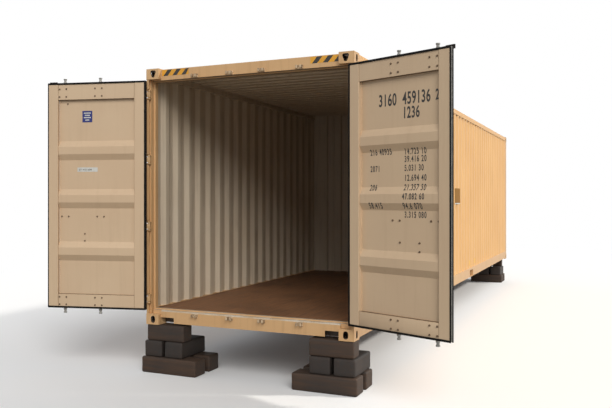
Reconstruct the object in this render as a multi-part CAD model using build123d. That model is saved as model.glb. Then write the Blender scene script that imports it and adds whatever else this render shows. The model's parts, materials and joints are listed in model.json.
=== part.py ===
from build123d import *
import os

# Forty foot high cube shipping container, doors open, standing on timber packing.
# X runs along the container with the doors at +X, Z is up, the ground is at Z = 0.
# The pieces are modelled about the container's own middle, then moved together along X
# so that the origin lies under the middle of the whole with its doors open.
# "Right" is the +Y side, which is on the right for someone facing the open doors.

# Overall size, to the corner castings
LENGTH = 12192.0
WIDTH = 2438.0
HEIGHT = 2896.0

# Timber packing under each corner
TIMBER_HEIGHT = 180.0
TIMBER_COURSES = 3
TOP_TIMBER_WIDTH = 200.0
TOP_TIMBER_LENGTH = 480.0
MIDDLE_TIMBER_WIDTH = 230.0
MIDDLE_TIMBER_LENGTH = 560.0
MIDDLE_TIMBER_GAP = 30.0
BOTTOM_TIMBER_WIDTH = 240.0
BOTTOM_TIMBER_LENGTH = 700.0
BOTTOM_TIMBER_GAP = 90.0
TOP_TIMBER_OUTSET = -6.0
MIDDLE_TIMBER_OUTSET = 14.0
BOTTOM_TIMBER_OUTSET = 40.0
REAR_TIMBER_INSET = 80.0

# Corner castings
CASTING_LENGTH = 178.0
CASTING_WIDTH = 162.0
CASTING_HEIGHT = 118.0
CASTING_WALL = 16.0
CASTING_PLATE = 28.0
SLOT_LENGTH = 124.0
SLOT_WIDTH = 63.5
SLOT_INSET_X = 103.5
SLOT_INSET_Y = 89.5
FACE_HOLE_WIDTH = 51.0
SHIELD_WIDTH = 68.0
SHIELD_CORNER = 20.0
FACE_HOLE_HEIGHT = 79.5
FACE_HOLE_INSET = 89.0

# Sides of the small round pieces, few because they repeat many times
ROUND_SIDES = 8
ROD_SIDES = 10
HOLE_SIDES = 10

# Base frame
RAIL_INSET = 4.0
BASE_LIFT = 17.0
BOTTOM_RAIL_HEIGHT = 162.0
BOTTOM_RAIL_FLANGE = 48.0
BOTTOM_RAIL_WALL = 4.5
CROSS_MEMBER_HEIGHT = 122.0
CROSS_MEMBER_WIDTH = 45.0
CROSS_MEMBER_WALL = 4.0
CROSS_MEMBER_LIFT = 22.0
CROSS_MEMBER_SPACING = 425.0
FLOOR_THICKNESS = 28.0
FLOOR_EDGE_GAP = 2.0
FORK_SPACING = 2050.0
FORK_WIDTH = 360.0
FORK_HEIGHT = 115.0
FORK_WALL = 6.0
FORK_MEMBER_GAP = 30.0

# Roof and top rails
TOP_RAIL_SIZE = 60.0
TOP_RAIL_WALL = 4.0
TOP_RAIL_DROP = 26.0
ROOF_SHEET = 2.0
ROOF_DEPTH = 20.0
ROOF_CREST = 91.0
ROOF_SLOPE = 13.5
ROOF_EDGE_INSET = 14.0

# Corrugated walls
WALL_SHEET = 2.0
WALL_INSET = 8.0
WALL_DEPTH = 36.0
WALL_OUTER_FACE = 72.0
WALL_INNER_FACE = 70.0
WALL_SLOPE = 68.0
END_DEPTH = 45.0
END_OUTER_FACE = 110.0
END_INNER_FACE = 104.0
END_SLOPE = 18.0
BULKHEAD_FROM_DOOR = 5400.0
SEAT = 0.3

# Closed end frame
BLIND_POST_DEPTH = 175.0
BLIND_POST_WIDTH = 52.0
BLIND_POST_WALL = 6.0
BLIND_RAIL_DEPTH = 80.0
BLIND_SILL_HEIGHT = 144.0
BLIND_HEADER_HEIGHT = 92.0
BLIND_RAIL_WALL = 4.0

# Door end frame
POST_INSET = 3.0
POST_PLATE = 6.0
POST_STRIP = 27.0
POST_REBATE = 19.0
POST_DEPTH = 175.0
DOOR_RECESS = 60.0
HEADER_HEIGHT = 130.0
HEADER_DEPTH = 118.0
HEADER_WALL = 4.0
HEADER_DROP = 8.0
STOP_LIP = 12.0
SILL_LIFT = 18.0
SILL_HEIGHT = 142.0
SILL_DEPTH = 100.0
SILL_WALL = 5.0
SILL_LIP = 12.0
SILL_FOLD = 14.0
SILL_NOTCH_LENGTH = 165.0
SILL_NOTCH_HEIGHT = 62.0
GUSSET = 6.0

# Door leaves
LEAF_THICKNESS = 50.0
STILE_WIDTH = 115.0
STILE_WALL = 4.0
TOP_RAIL_WIDTH = 175.0
LOWER_RAIL_WIDTH = 140.0
PANEL_SHEET = 2.0
PANEL_DEPTH = 36.0
PANEL_CREST = 84.0
PANEL_SLOPE = 68.0
PANEL_RIBS_FROM_MIDDLE = (-643.0, -39.0, 517.0)
GASKET_WIDTH = 20.0
GASKET_THICKNESS = 52.0
GASKET_LAP = 4.0
CORNER_BLOCK_LENGTH = 92.0
CORNER_BLOCK_HEIGHT = 18.0
CORNER_BLOCK_THICKNESS = 16.0
DOOR_GAP = 6.0
REST_ANGLE_RIGHT = 156.0
REST_ANGLE_LEFT = 164.0

# Hinges
PIN_DEPTH = 24.0
PIN_INSET = 22.0
PIN_RADIUS = 10.0
PIN_HEAD_RADIUS = 14.0
PIN_HEAD = 5.0
PIN_CLEARANCE = 0.3
BARREL_RADIUS = 17.0
HINGES_ABOVE_BASE = (285.0, 1112.0)
HINGES_BELOW_TOP = (1028.0, 289.0)
LUG_THICKNESS = 16.0
LUG_SPAN = 100.0
HINGE_GAP = 3.0
BLADE_THICKNESS = 10.0
BLADE_LENGTH = 130.0
BLADE_NECK_DEPTH = 9.0
BLADE_NECK_INSET = 14.0
BLADE_ROOT = 10.0
HINGE_NOTCH_MARGIN = 12.0

# Lock rods, cams and keepers
ROD_OFFSETS = (190.0, 620.0)
ROD_RADIUS = 17.0
ROD_STANDOFF = 26.0
CAM_THICKNESS = 20.0
CAM_BELOW_TOP = 80.0
CAM_ABOVE_BASE = 100.0
CAM_LENGTH = 52.0
CAM_FLANGE = 7.0
CAM_FLANGE_RADIUS = 20.0
KEEPER_WIDTH = 74.0
KEEPER_HEIGHT = 40.0
KEEPER_PLATE = 6.0
KEEPER_EAR = 10.0
KEEPER_FRONT = 14.0
CAM_CLEARANCE = 3.0
BRACKETS_ABOVE_BASE = (263.0, 1212.0)
BRACKET_BELOW_TOP = 269.0
BRACKET_HEIGHT = 50.0
BRACKET_WIDTH = 96.0
BRACKET_PLATE = 6.0
BRACKET_WALL = 7.0
ROD_CLEARANCE = 1.0
HANDLE_HEIGHT = 985.0
HANDLE_LENGTH = 385.0
HANDLE_BAR = 34.0
HANDLE_THICKNESS = 12.0
HUB_RADIUS = 25.0
HUB_HEIGHT = 44.0
CATCH_FROM_ROD = 250.0
CATCH_WIDTH = 50.0
CATCH_LIP = 8.0

# Plate on the right side wall
PLATE_FROM_DOOR = 5500.0
PLATE_LENGTH = 450.0
PLATE_HEIGHT = 240.0
PLATE_BOTTOM = 1356.0
PLATE_THICKNESS = 4.0

# Heights and planes that follow from the sizes above
LIFT = TIMBER_HEIGHT * TIMBER_COURSES
END_X = LENGTH / 2
SIDE_Y = WIDTH / 2
CASTING_TOP = LIFT + CASTING_HEIGHT
UPPER_CASTING = LIFT + HEIGHT - CASTING_HEIGHT
TOP = LIFT + HEIGHT
RAIL_LOW = LIFT + BASE_LIFT
RAIL_HIGH = RAIL_LOW + BOTTOM_RAIL_HEIGHT
MEMBER_LOW = LIFT + CROSS_MEMBER_LIFT
FLOOR_LOW = MEMBER_LOW + CROSS_MEMBER_HEIGHT
FLOOR_HIGH = FLOOR_LOW + FLOOR_THICKNESS
TOP_RAIL_HIGH = TOP - TOP_RAIL_DROP
TOP_RAIL_LOW = TOP_RAIL_HIGH - TOP_RAIL_SIZE
SILL_LOW = LIFT + SILL_LIFT
SILL_HIGH = SILL_LOW + SILL_HEIGHT
HEADER_LOW = TOP - HEADER_HEIGHT
HEADER_HIGH = TOP - HEADER_DROP
STOP_DEPTH = DOOR_RECESS + LEAF_THICKNESS + GASKET_LAP + DOOR_GAP
OPENING_INSET = POST_INSET + POST_STRIP + POST_REBATE
LEAF_EDGE = POST_INSET + POST_STRIP + DOOR_GAP + GASKET_WIDTH
LEAF_FREE = DOOR_GAP + GASKET_WIDTH / 2
LEAF_LOW = SILL_HIGH + DOOR_GAP + GASKET_WIDTH
LEAF_HIGH = HEADER_LOW - DOOR_GAP - GASKET_WIDTH
PIN_X = END_X - PIN_DEPTH
PIN_Y = SIDE_Y - PIN_INSET
ROD_X = END_X - DOOR_RECESS + ROD_STANDOFF
SLOT_SPACING_X = LENGTH - 2 * SLOT_INSET_X
SLOT_SPACING_Y = WIDTH - 2 * SLOT_INSET_Y
HINGE_LEVELS = [LIFT + height for height in HINGES_ABOVE_BASE] + [TOP - drop for drop in HINGES_BELOW_TOP]
BRACKET_LEVELS = [LIFT + height for height in BRACKETS_ABOVE_BASE] + [TOP - BRACKET_BELOW_TOP]
CAM_LOW = LIFT + CAM_ABOVE_BASE
CAM_HIGH = TOP - CAM_BELOW_TOP
LEAF_MIDDLE = (LEAF_LOW + LEAF_HIGH) / 2


def block(x0, x1, y0, y1, z0, z1):
    """A box between two corners."""
    return Pos((x0 + x1) / 2, (y0 + y1) / 2, (z0 + z1) / 2) * Box(x1 - x0, y1 - y0, z1 - z0)


def prism_z(points, z0, z1):
    """A flat outline in X and Y, raised from z0 to z1."""
    return extrude(Plane.XY.offset(z0) * Polygon(*points, align=None), z1 - z0, dir=(0, 0, 1))


def prism_x(points, x0, x1):
    """A flat outline in Y and Z, drawn out from x0 to x1."""
    return extrude(Plane.YZ.offset(x0) * Polygon(*points, align=None), x1 - x0, dir=(1, 0, 0))


def prism_y(points, y0, y1):
    """A flat outline in X and Z, drawn out from y0 to y1."""
    return extrude(Plane.XZ.offset(-y1) * Polygon(*points, align=None), y1 - y0, dir=(0, -1, 0))


def round_bar(x, y, radius, z0, z1, sides=ROUND_SIDES):
    """A vertical bar with flat sides, no wider than the radius anywhere."""
    return extrude(Pos(x, y, z0) * RegularPolygon(radius, sides), z1 - z0, dir=(0, 0, 1))


def round_bore(x, y, radius, z0, z1):
    """A vertical bore with flat sides, no narrower than the radius anywhere."""
    outline = RegularPolygon(radius, ROUND_SIDES, major_radius=False)
    return extrude(Pos(x, y, z0) * outline, z1 - z0, dir=(0, 0, 1))


def long_hole(width, length):
    """Hole with round ends, longest along its own Y, its ends drawn in short chords."""
    end = RegularPolygon(width / 2, HOLE_SIDES, major_radius=False)
    reach = (length - width) / 2
    return make_hull((Pos(0, reach) * end).edges() + (Pos(0, -reach) * end).edges())


def lower_slot():
    """Slot in the underside of a lower casting, along the container."""
    return Rot(0, 0, 90) * long_hole(SLOT_WIDTH, SLOT_LENGTH)


def shield():
    """Hole in the end face of an upper casting: wide at the top and drawn in below."""
    corner = RegularPolygon(SHIELD_CORNER, HOLE_SIDES, major_radius=False)
    out = SHIELD_WIDTH / 2 - SHIELD_CORNER
    up = FACE_HOLE_HEIGHT / 2 - SHIELD_CORNER
    places = [Pos(-out, up), Pos(out, up), Pos(0, -up)]
    return make_hull([edge for place in places for edge in (place * corner).edges()])


def at_depth(points):
    """Turns (depth behind the door plane, inset from the right side) into X and Y."""
    return [(END_X - depth, SIDE_Y - inset) for depth, inset in points]


def wave(start, stop, crest, valley, slope, depth):
    """Trapezoidal corrugation from start to stop as (along, depth) points, with flat margins."""
    pitch = crest + valley + 2 * slope
    count = int((stop - start - crest) // pitch)
    margin = (stop - start - count * pitch + crest) / 2
    points = [(start, 0.0)]
    place = start + margin
    for _ in range(count):
        points.append((place, 0.0))
        points.append((place + slope, depth))
        points.append((place + slope + valley, depth))
        points.append((place + 2 * slope + valley, 0.0))
        place += pitch
    points.append((stop, 0.0))
    return points


def mirror_y(shape):
    """The same piece on the other side of the container."""
    return mirror(shape, about=Plane.XZ)


def mirror_x(shape):
    """The same piece at the other end of the container."""
    return mirror(shape, about=Plane.YZ)


def solids_of(*shapes):
    """Every solid of the shapes given, in one compound."""
    found = []
    for shape in shapes:
        found.extend(shape.solids())
    return Compound(found)


def casting(z0, slot_up):
    """Hollow corner casting at the door end on the right, with its slot and two face holes."""
    x0 = END_X - CASTING_LENGTH
    y0 = SIDE_Y - CASTING_WIDTH
    z1 = z0 + CASTING_HEIGHT
    body = block(x0, END_X, y0, SIDE_Y, z0, z1)
    low = CASTING_WALL if slot_up else CASTING_PLATE
    high = CASTING_PLATE if slot_up else CASTING_WALL
    hollow = block(x0 + CASTING_WALL, END_X - CASTING_WALL,
                   y0 + CASTING_WALL, SIDE_Y - CASTING_WALL, z0 + low, z1 - high)
    body -= hollow
    plate = z1 - CASTING_PLATE if slot_up else z0
    slot = SlotOverall(SLOT_LENGTH, SLOT_WIDTH) if slot_up else lower_slot()
    body -= Pos(SLOT_SPACING_X / 2, SLOT_SPACING_Y / 2, plate) * extrude(slot, CASTING_PLATE)
    middle = z0 + CASTING_HEIGHT / 2
    side_hole = long_hole(FACE_HOLE_WIDTH, FACE_HOLE_HEIGHT)
    end_hole = shield() if slot_up else side_hole
    end_place = Plane.YZ.offset(END_X - CASTING_WALL)
    body -= extrude(end_place * Pos(SIDE_Y - FACE_HOLE_INSET, middle) * end_hole, CASTING_WALL)
    side_place = Plane.XZ.offset(-SIDE_Y)
    body -= extrude(side_place * Pos(END_X - FACE_HOLE_INSET, middle) * side_hole, CASTING_WALL)
    return body


def four_castings(z0, slot_up):
    """One casting at each corner of a level."""
    right_door_end = casting(z0, slot_up)
    left_door_end = mirror_y(right_door_end)
    return solids_of(right_door_end, left_door_end, mirror_x(right_door_end), mirror_x(left_door_end))


def bottom_side_rail():
    """Right bottom rail: a channel with its web outside, cut through for the fork pockets."""
    outer = SIDE_Y - RAIL_INSET
    inner = outer - BOTTOM_RAIL_FLANGE
    wall = BOTTOM_RAIL_WALL
    profile = [
        (outer, RAIL_LOW), (outer, RAIL_HIGH), (inner, RAIL_HIGH), (inner, RAIL_HIGH - wall),
        (outer - wall, RAIL_HIGH - wall), (outer - wall, RAIL_LOW + wall),
        (inner, RAIL_LOW + wall), (inner, RAIL_LOW),
    ]
    reach = END_X - CASTING_LENGTH
    rail = prism_x(profile, -reach, reach)
    for x in (-FORK_SPACING / 2, FORK_SPACING / 2):
        half = FORK_WIDTH / 2 + FORK_WALL
        rail -= block(x - half, x + half, inner, outer, RAIL_LOW, RAIL_LOW + FORK_HEIGHT + 2 * FORK_WALL)
    return rail


def member_places():
    """Where the cross members stand, leaving the fork pockets free."""
    reach = END_X - CASTING_LENGTH - CROSS_MEMBER_SPACING / 2
    count = int(2 * reach // CROSS_MEMBER_SPACING) + 1
    start = -(count - 1) * CROSS_MEMBER_SPACING / 2
    clear = FORK_WIDTH / 2 + FORK_WALL + FORK_MEMBER_GAP + CROSS_MEMBER_WIDTH / 2
    places = []
    for step in range(count):
        x = start + step * CROSS_MEMBER_SPACING
        nearest = FORK_SPACING / 2 if x > 0 else -FORK_SPACING / 2
        if abs(x - nearest) < clear:
            x = nearest + (clear if x > nearest else -clear)
        places.append(x)
    return places


def cross_members():
    """Channels across the base, from web to web of the bottom rails."""
    wall = CROSS_MEMBER_WALL
    reach = SIDE_Y - RAIL_INSET - BOTTOM_RAIL_WALL
    made = []
    for x in member_places():
        near = x - CROSS_MEMBER_WIDTH / 2
        far = x + CROSS_MEMBER_WIDTH / 2
        profile = [
            (near, MEMBER_LOW), (far, MEMBER_LOW), (far, MEMBER_LOW + wall),
            (near + wall, MEMBER_LOW + wall), (near + wall, FLOOR_LOW - wall),
            (far, FLOOR_LOW - wall), (far, FLOOR_LOW), (near, FLOOR_LOW),
        ]
        made.append(prism_y(profile, -reach, reach))
    return solids_of(*made)


def fork_pockets():
    """Two rectangular steel tubes from side to side for a lifting truck's forks."""
    reach = SIDE_Y - RAIL_INSET
    made = []
    for x in (-FORK_SPACING / 2, FORK_SPACING / 2):
        half = FORK_WIDTH / 2
        shell = block(x - half - FORK_WALL, x + half + FORK_WALL, -reach, reach,
                      RAIL_LOW, RAIL_LOW + FORK_HEIGHT + 2 * FORK_WALL)
        shell -= block(x - half, x + half, -reach, reach,
                       RAIL_LOW + FORK_WALL, RAIL_LOW + FORK_WALL + FORK_HEIGHT)
        made.append(shell)
    return solids_of(*made)


def floor_deck():
    """Plywood deck on the cross members, between the rails and the two sills."""
    half = SIDE_Y - RAIL_INSET - BOTTOM_RAIL_FLANGE - FLOOR_EDGE_GAP
    front = END_X - DOOR_RECESS - SILL_DEPTH - FLOOR_EDGE_GAP
    back = -END_X + BLIND_RAIL_DEPTH + POST_INSET + FLOOR_EDGE_GAP
    return block(back, front, -half, half, FLOOR_LOW, FLOOR_HIGH)


def top_side_rail():
    """Right top rail: a square tube between the upper castings."""
    outer = SIDE_Y - RAIL_INSET
    inner = outer - TOP_RAIL_SIZE
    reach = END_X - CASTING_LENGTH
    tube = block(-reach, reach, inner, outer, TOP_RAIL_LOW, TOP_RAIL_HIGH)
    wall = TOP_RAIL_WALL
    tube -= block(-reach, reach, inner + wall, outer - wall, TOP_RAIL_LOW + wall, TOP_RAIL_HIGH - wall)
    return tube


def side_wall():
    """Right side wall: one long corrugated sheet between the posts."""
    start = -END_X + BLIND_POST_DEPTH + POST_INSET
    stop = END_X - POST_INSET - POST_DEPTH
    outer = SIDE_Y - WALL_INSET
    line = wave(start, stop, WALL_OUTER_FACE, WALL_INNER_FACE, WALL_SLOPE, WALL_DEPTH)
    front = [(x, outer - depth) for x, depth in line]
    back = [(x, outer - depth - WALL_SHEET) for x, depth in reversed(line)]
    return prism_z(front + back, RAIL_HIGH, TOP_RAIL_LOW)


def roof_sheet():
    """Roof pressed in ribs across the container, lying on the top side rails."""
    reach = END_X - CASTING_LENGTH
    half = SIDE_Y - ROOF_EDGE_INSET
    line = wave(-reach, reach, ROOF_CREST, ROOF_CREST, ROOF_SLOPE, ROOF_DEPTH)
    upper = [(x, TOP_RAIL_HIGH + depth + ROOF_SHEET) for x, depth in line]
    lower = [(x, TOP_RAIL_HIGH + depth) for x, depth in reversed(line)]
    return prism_y(upper + lower, -half, half)


def upright_corrugated(x, face, half, z0, z1):
    """Sheet across the container with upright ribs, its face at x looking along face."""
    line = wave(-half, half, END_OUTER_FACE, END_INNER_FACE, END_SLOPE, END_DEPTH)
    front = [(x - face * depth, y) for y, depth in line]
    back = [(x - face * (depth + WALL_SHEET), y) for y, depth in reversed(line)]
    return prism_z(front + back, z0, z1)


def end_wall():
    """Corrugated wall of the closed end."""
    half = SIDE_Y - BLIND_POST_WIDTH
    low = SILL_LOW + BLIND_SILL_HEIGHT
    high = TOP_RAIL_HIGH - BLIND_HEADER_HEIGHT
    return upright_corrugated(-END_X + WALL_INSET, -1, half, low, high)


def bulkhead():
    """Corrugated wall inside, part of the way down the container."""
    half = SIDE_Y - WALL_INSET - WALL_DEPTH - WALL_SHEET - SEAT
    front = END_X - BULKHEAD_FROM_DOOR
    sheet = upright_corrugated(front, 1, half, FLOOR_HIGH, TOP_RAIL_HIGH)
    back = front - END_DEPTH - WALL_SHEET
    top_inner = SIDE_Y - RAIL_INSET - TOP_RAIL_SIZE - SEAT
    bottom_inner = SIDE_Y - RAIL_INSET - BOTTOM_RAIL_FLANGE - SEAT
    for side in (-1, 1):
        y0, y1 = sorted((side * top_inner, side * half))
        sheet -= block(back, front, y0, y1, TOP_RAIL_LOW - SEAT, TOP_RAIL_HIGH)
        y0, y1 = sorted((side * bottom_inner, side * half))
        sheet -= block(back, front, y0, y1, FLOOR_HIGH, RAIL_HIGH + SEAT)
    return sheet


def blind_post():
    """Right post of the closed end: a closed steel section between its castings."""
    x0 = -END_X + POST_INSET
    x1 = x0 + BLIND_POST_DEPTH
    y1 = SIDE_Y - POST_INSET
    y0 = SIDE_Y - BLIND_POST_WIDTH
    wall = BLIND_POST_WALL
    post = block(x0, x1, y0, y1, CASTING_TOP, UPPER_CASTING)
    post -= block(x0 + wall, x1 - wall, y0 + wall, y1 - wall, CASTING_TOP, UPPER_CASTING)
    return post


def blind_rail(z0, z1):
    """Hollow rail across the closed end between two castings."""
    x0 = -END_X + POST_INSET
    x1 = x0 + BLIND_RAIL_DEPTH
    half = SIDE_Y - CASTING_WIDTH
    wall = BLIND_RAIL_WALL
    rail = block(x0, x1, -half, half, z0, z1)
    rail -= block(x0 + wall, x1 - wall, -half, half, z0 + wall, z1 - wall)
    return rail


def blind_header():
    """Top rail of the closed end, with a plate that reaches back to the roof."""
    high = TOP_RAIL_HIGH
    rail = blind_rail(high - BLIND_HEADER_HEIGHT, high)
    half = SIDE_Y - CASTING_WIDTH
    x0 = -END_X + POST_INSET + BLIND_RAIL_DEPTH
    rail += block(x0, -END_X + CASTING_LENGTH, -half, half, high - BLIND_RAIL_WALL, high)
    return rail


def door_post():
    """Right door post: a folded front lip for the hinges and a rebated box behind it."""
    strip = POST_INSET + POST_STRIP
    step = STOP_DEPTH
    back = POST_INSET + POST_DEPTH
    plate = POST_PLATE
    outline = [
        (POST_INSET, POST_INSET), (POST_INSET, strip), (POST_INSET + plate, strip),
        (POST_INSET + plate, POST_INSET + plate), (DOOR_RECESS, POST_INSET + plate),
        (DOOR_RECESS, strip), (step, strip), (step, OPENING_INSET), (back, OPENING_INSET),
        (back, POST_INSET),
    ]
    inside = [
        (DOOR_RECESS + plate, POST_INSET + plate), (DOOR_RECESS + plate, strip - plate),
        (step + plate, strip - plate), (step + plate, OPENING_INSET - plate),
        (back - plate, OPENING_INSET - plate), (back - plate, POST_INSET + plate),
    ]
    post = prism_z(at_depth(outline), CASTING_TOP, UPPER_CASTING)
    post -= prism_z(at_depth(inside), CASTING_TOP, UPPER_CASTING)
    for level in HINGE_LEVELS:
        half = LUG_SPAN / 2 + HINGE_NOTCH_MARGIN
        post -= block(END_X - DOOR_RECESS, END_X, SIDE_Y - strip, SIDE_Y, level - half, level + half)
    return post


def door_header():
    """Box beam over the doors, with a lip that the door seals meet."""
    front = END_X - DOOR_RECESS
    back = front - HEADER_DEPTH
    between = SIDE_Y - CASTING_WIDTH
    opening = SIDE_Y - OPENING_INSET
    wall = HEADER_WALL
    beam = block(back, front, -between, between, HEADER_LOW, HEADER_HIGH)
    beam -= block(back + wall, front - wall, -between, between, HEADER_LOW + wall, HEADER_HIGH - wall)
    beam += block(back, front, between, opening, HEADER_LOW, UPPER_CASTING)
    beam += block(back, front, -opening, -between, HEADER_LOW, UPPER_CASTING)
    beam += block(back, END_X - STOP_DEPTH, -opening, opening, HEADER_LOW - STOP_LIP, HEADER_LOW)
    return beam


def door_sill():
    """Pressed sill under the doors, its upper edge folded over, each end notched with a plate behind."""
    front = END_X - DOOR_RECESS
    back = front - SILL_DEPTH
    between = SIDE_Y - CASTING_WIDTH
    opening = SIDE_Y - OPENING_INSET
    wall = SILL_WALL
    profile = [
        (back, SILL_LOW), (front, SILL_LOW), (front, SILL_HIGH - SILL_FOLD), (front - SILL_FOLD, SILL_HIGH),
        (back, SILL_HIGH), (back, SILL_HIGH - wall), (front - SILL_FOLD - wall / 2, SILL_HIGH - wall),
        (front - wall, SILL_HIGH - SILL_FOLD - wall / 2), (front - wall, SILL_LOW + wall),
        (back, SILL_LOW + wall),
    ]
    sill = prism_y(profile, -between, between)
    sill += block(back, END_X - STOP_DEPTH, -opening, opening, SILL_HIGH, SILL_HIGH + SILL_LIP)
    for y in rod_lines():
        sill += block(back, front - wall, y - GUSSET / 2, y + GUSSET / 2, SILL_LOW + wall, SILL_HIGH - wall)
    for side in (-1, 1):
        y0, y1 = sorted((side * between, side * opening))
        sill += block(back, front - SILL_FOLD, y0, y1, CASTING_TOP, SILL_HIGH)
        y0, y1 = sorted((side * between, side * (between - SILL_NOTCH_LENGTH)))
        sill -= block(back, front, y0, y1, SILL_LOW, SILL_LOW + SILL_NOTCH_HEIGHT)
        sill += block(back, back + wall, y0, y1, SILL_LOW, SILL_HIGH)
    return sill


def rod_lines():
    """Y of the four lock rods with the doors shut."""
    return [side * offset for side in (-1, 1) for offset in ROD_OFFSETS]


def keeper(y, z0):
    """Keeper on the frame: a plate with two ears whose hooked lips hold the cam between its flanges."""
    back = END_X - DOOR_RECESS
    front = END_X - KEEPER_FRONT
    half = KEEPER_WIDTH / 2
    slot = CAM_THICKNESS / 2 + CAM_CLEARANCE
    pocket = CAM_FLANGE_RADIUS + CAM_CLEARANCE
    lip_from = z0 + CAM_FLANGE + CAM_CLEARANCE
    lip_to = z0 + CAM_LENGTH - CAM_FLANGE - CAM_CLEARANCE
    middle = z0 + CAM_LENGTH / 2
    piece = block(back, back + KEEPER_PLATE, y - half, y + half,
                  middle - KEEPER_HEIGHT / 2, middle + KEEPER_HEIGHT / 2)
    for side in (-1, 1):
        y0, y1 = sorted((y + side * pocket, y + side * (pocket + KEEPER_EAR)))
        piece += block(back, front, y0, y1, lip_from, lip_to)
        y0, y1 = sorted((y + side * slot, y + side * pocket))
        piece += block(front - KEEPER_PLATE, front, y0, y1, lip_from, lip_to)
    return piece


def cam_keepers():
    """All eight keepers, four on the header and four on the sill."""
    made = []
    for y in rod_lines():
        made.append(keeper(y, CAM_HIGH - CAM_LENGTH))
        made.append(keeper(y, CAM_LOW))
    return solids_of(*made)


def lug_outline():
    """Outline of one hinge lug, from the post's front face out around the pin."""
    base = [
        (DOOR_RECESS, POST_INSET + POST_PLATE), (DOOR_RECESS, POST_INSET + POST_STRIP),
        (PIN_DEPTH, PIN_INSET + BARREL_RADIUS), (PIN_DEPTH, PIN_INSET - BARREL_RADIUS),
    ]
    return at_depth(base)


def hinge_lugs():
    """Pairs of lugs on both door posts, bored for the pins."""
    made = []
    for level in HINGE_LEVELS:
        for direction in (-1, 1):
            ends = sorted((direction * LUG_SPAN / 2, direction * (LUG_SPAN / 2 - LUG_THICKNESS)))
            z0 = level + ends[0]
            z1 = level + ends[1]
            lug = prism_z(lug_outline(), z0, z1)
            lug += round_bar(PIN_X, PIN_Y, BARREL_RADIUS, z0, z1)
            lug -= round_bore(PIN_X, PIN_Y, PIN_RADIUS + PIN_CLEARANCE, z0, z1)
            made.append(lug)
    right = solids_of(*made)
    return solids_of(right, mirror_y(right))


def hinge_pins():
    """A headed pin through each pair of lugs."""
    made = []
    for level in HINGE_LEVELS:
        z0 = level - LUG_SPAN / 2 - PIN_HEAD
        z1 = level + LUG_SPAN / 2
        pin = round_bar(PIN_X, PIN_Y, PIN_RADIUS, z0, z1)
        pin += round_bar(PIN_X, PIN_Y, PIN_HEAD_RADIUS, z1, z1 + PIN_HEAD)
        made.append(pin)
    right = solids_of(*made)
    return solids_of(right, mirror_y(right))


def leaf_stiles():
    """The two upright tubes of the right leaf, shut."""
    x1 = END_X - DOOR_RECESS
    x0 = x1 - LEAF_THICKNESS
    made = []
    for y0 in (LEAF_FREE, SIDE_Y - LEAF_EDGE - STILE_WIDTH):
        tube = block(x0, x1, y0, y0 + STILE_WIDTH, LEAF_LOW, LEAF_HIGH)
        wall = STILE_WALL
        tube -= block(x0 + wall, x1 - wall, y0 + wall, y0 + STILE_WIDTH - wall,
                      LEAF_LOW + wall, LEAF_HIGH - wall)
        made.append(tube)
    return solids_of(*made)


def leaf_rails():
    """Top and bottom channels of the right leaf, between the stiles."""
    x1 = END_X - DOOR_RECESS
    x0 = x1 - LEAF_THICKNESS
    y0 = LEAF_FREE + STILE_WIDTH
    y1 = SIDE_Y - LEAF_EDGE - STILE_WIDTH
    wall = STILE_WALL
    made = []
    for z0, z1 in ((LEAF_LOW, LEAF_LOW + LOWER_RAIL_WIDTH), (LEAF_HIGH - TOP_RAIL_WIDTH, LEAF_HIGH)):
        tube = block(x0, x1, y0, y1, z0, z1)
        tube -= block(x0 + wall, x1 - wall, y0, y1, z0 + wall, z1 - wall)
        made.append(tube)
    return solids_of(*made)


def leaf_panel():
    """Sheet of the right leaf with three wide ribs pressed inwards."""
    outer = END_X - DOOR_RECESS
    z0 = LEAF_LOW + LOWER_RAIL_WIDTH
    z1 = LEAF_HIGH - TOP_RAIL_WIDTH
    line = [(z0, 0.0)]
    half = PANEL_CREST / 2
    for offset in PANEL_RIBS_FROM_MIDDLE:
        middle = LEAF_MIDDLE + offset
        line.append((middle - half - PANEL_SLOPE, 0.0))
        line.append((middle - half, PANEL_DEPTH))
        line.append((middle + half, PANEL_DEPTH))
        line.append((middle + half + PANEL_SLOPE, 0.0))
    line.append((z1, 0.0))
    front = [(outer - depth, z) for z, depth in line]
    back = [(outer - depth - PANEL_SHEET, z) for z, depth in reversed(line)]
    y0 = LEAF_FREE + STILE_WIDTH
    y1 = SIDE_Y - LEAF_EDGE - STILE_WIDTH
    return prism_y(front + back, y0, y1)


def leaf_gasket():
    """Rubber seal round the right leaf, standing proud of its edges."""
    inner_face = END_X - DOOR_RECESS - LEAF_THICKNESS
    x0 = inner_face - GASKET_LAP
    x1 = x0 + GASKET_THICKNESS
    y0 = LEAF_FREE
    y1 = SIDE_Y - LEAF_EDGE
    free = GASKET_WIDTH / 2
    ring = block(x0, x1, y0 - free, y1 + GASKET_WIDTH, LEAF_LOW - GASKET_WIDTH, LEAF_HIGH + GASKET_WIDTH)
    ring -= block(x0, x1, y0, y1, LEAF_LOW, LEAF_HIGH)
    lip = END_X - DOOR_RECESS + DOOR_GAP
    top = LEAF_HIGH + GASKET_WIDTH
    ring += block(x1, lip, y0 - free, y0, top - GASKET_WIDTH, top)
    ring += block(lip, lip + CORNER_BLOCK_THICKNESS, y0 - free, y0 - free + CORNER_BLOCK_LENGTH,
                  top - GASKET_WIDTH, top + CORNER_BLOCK_HEIGHT)
    return ring


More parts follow.
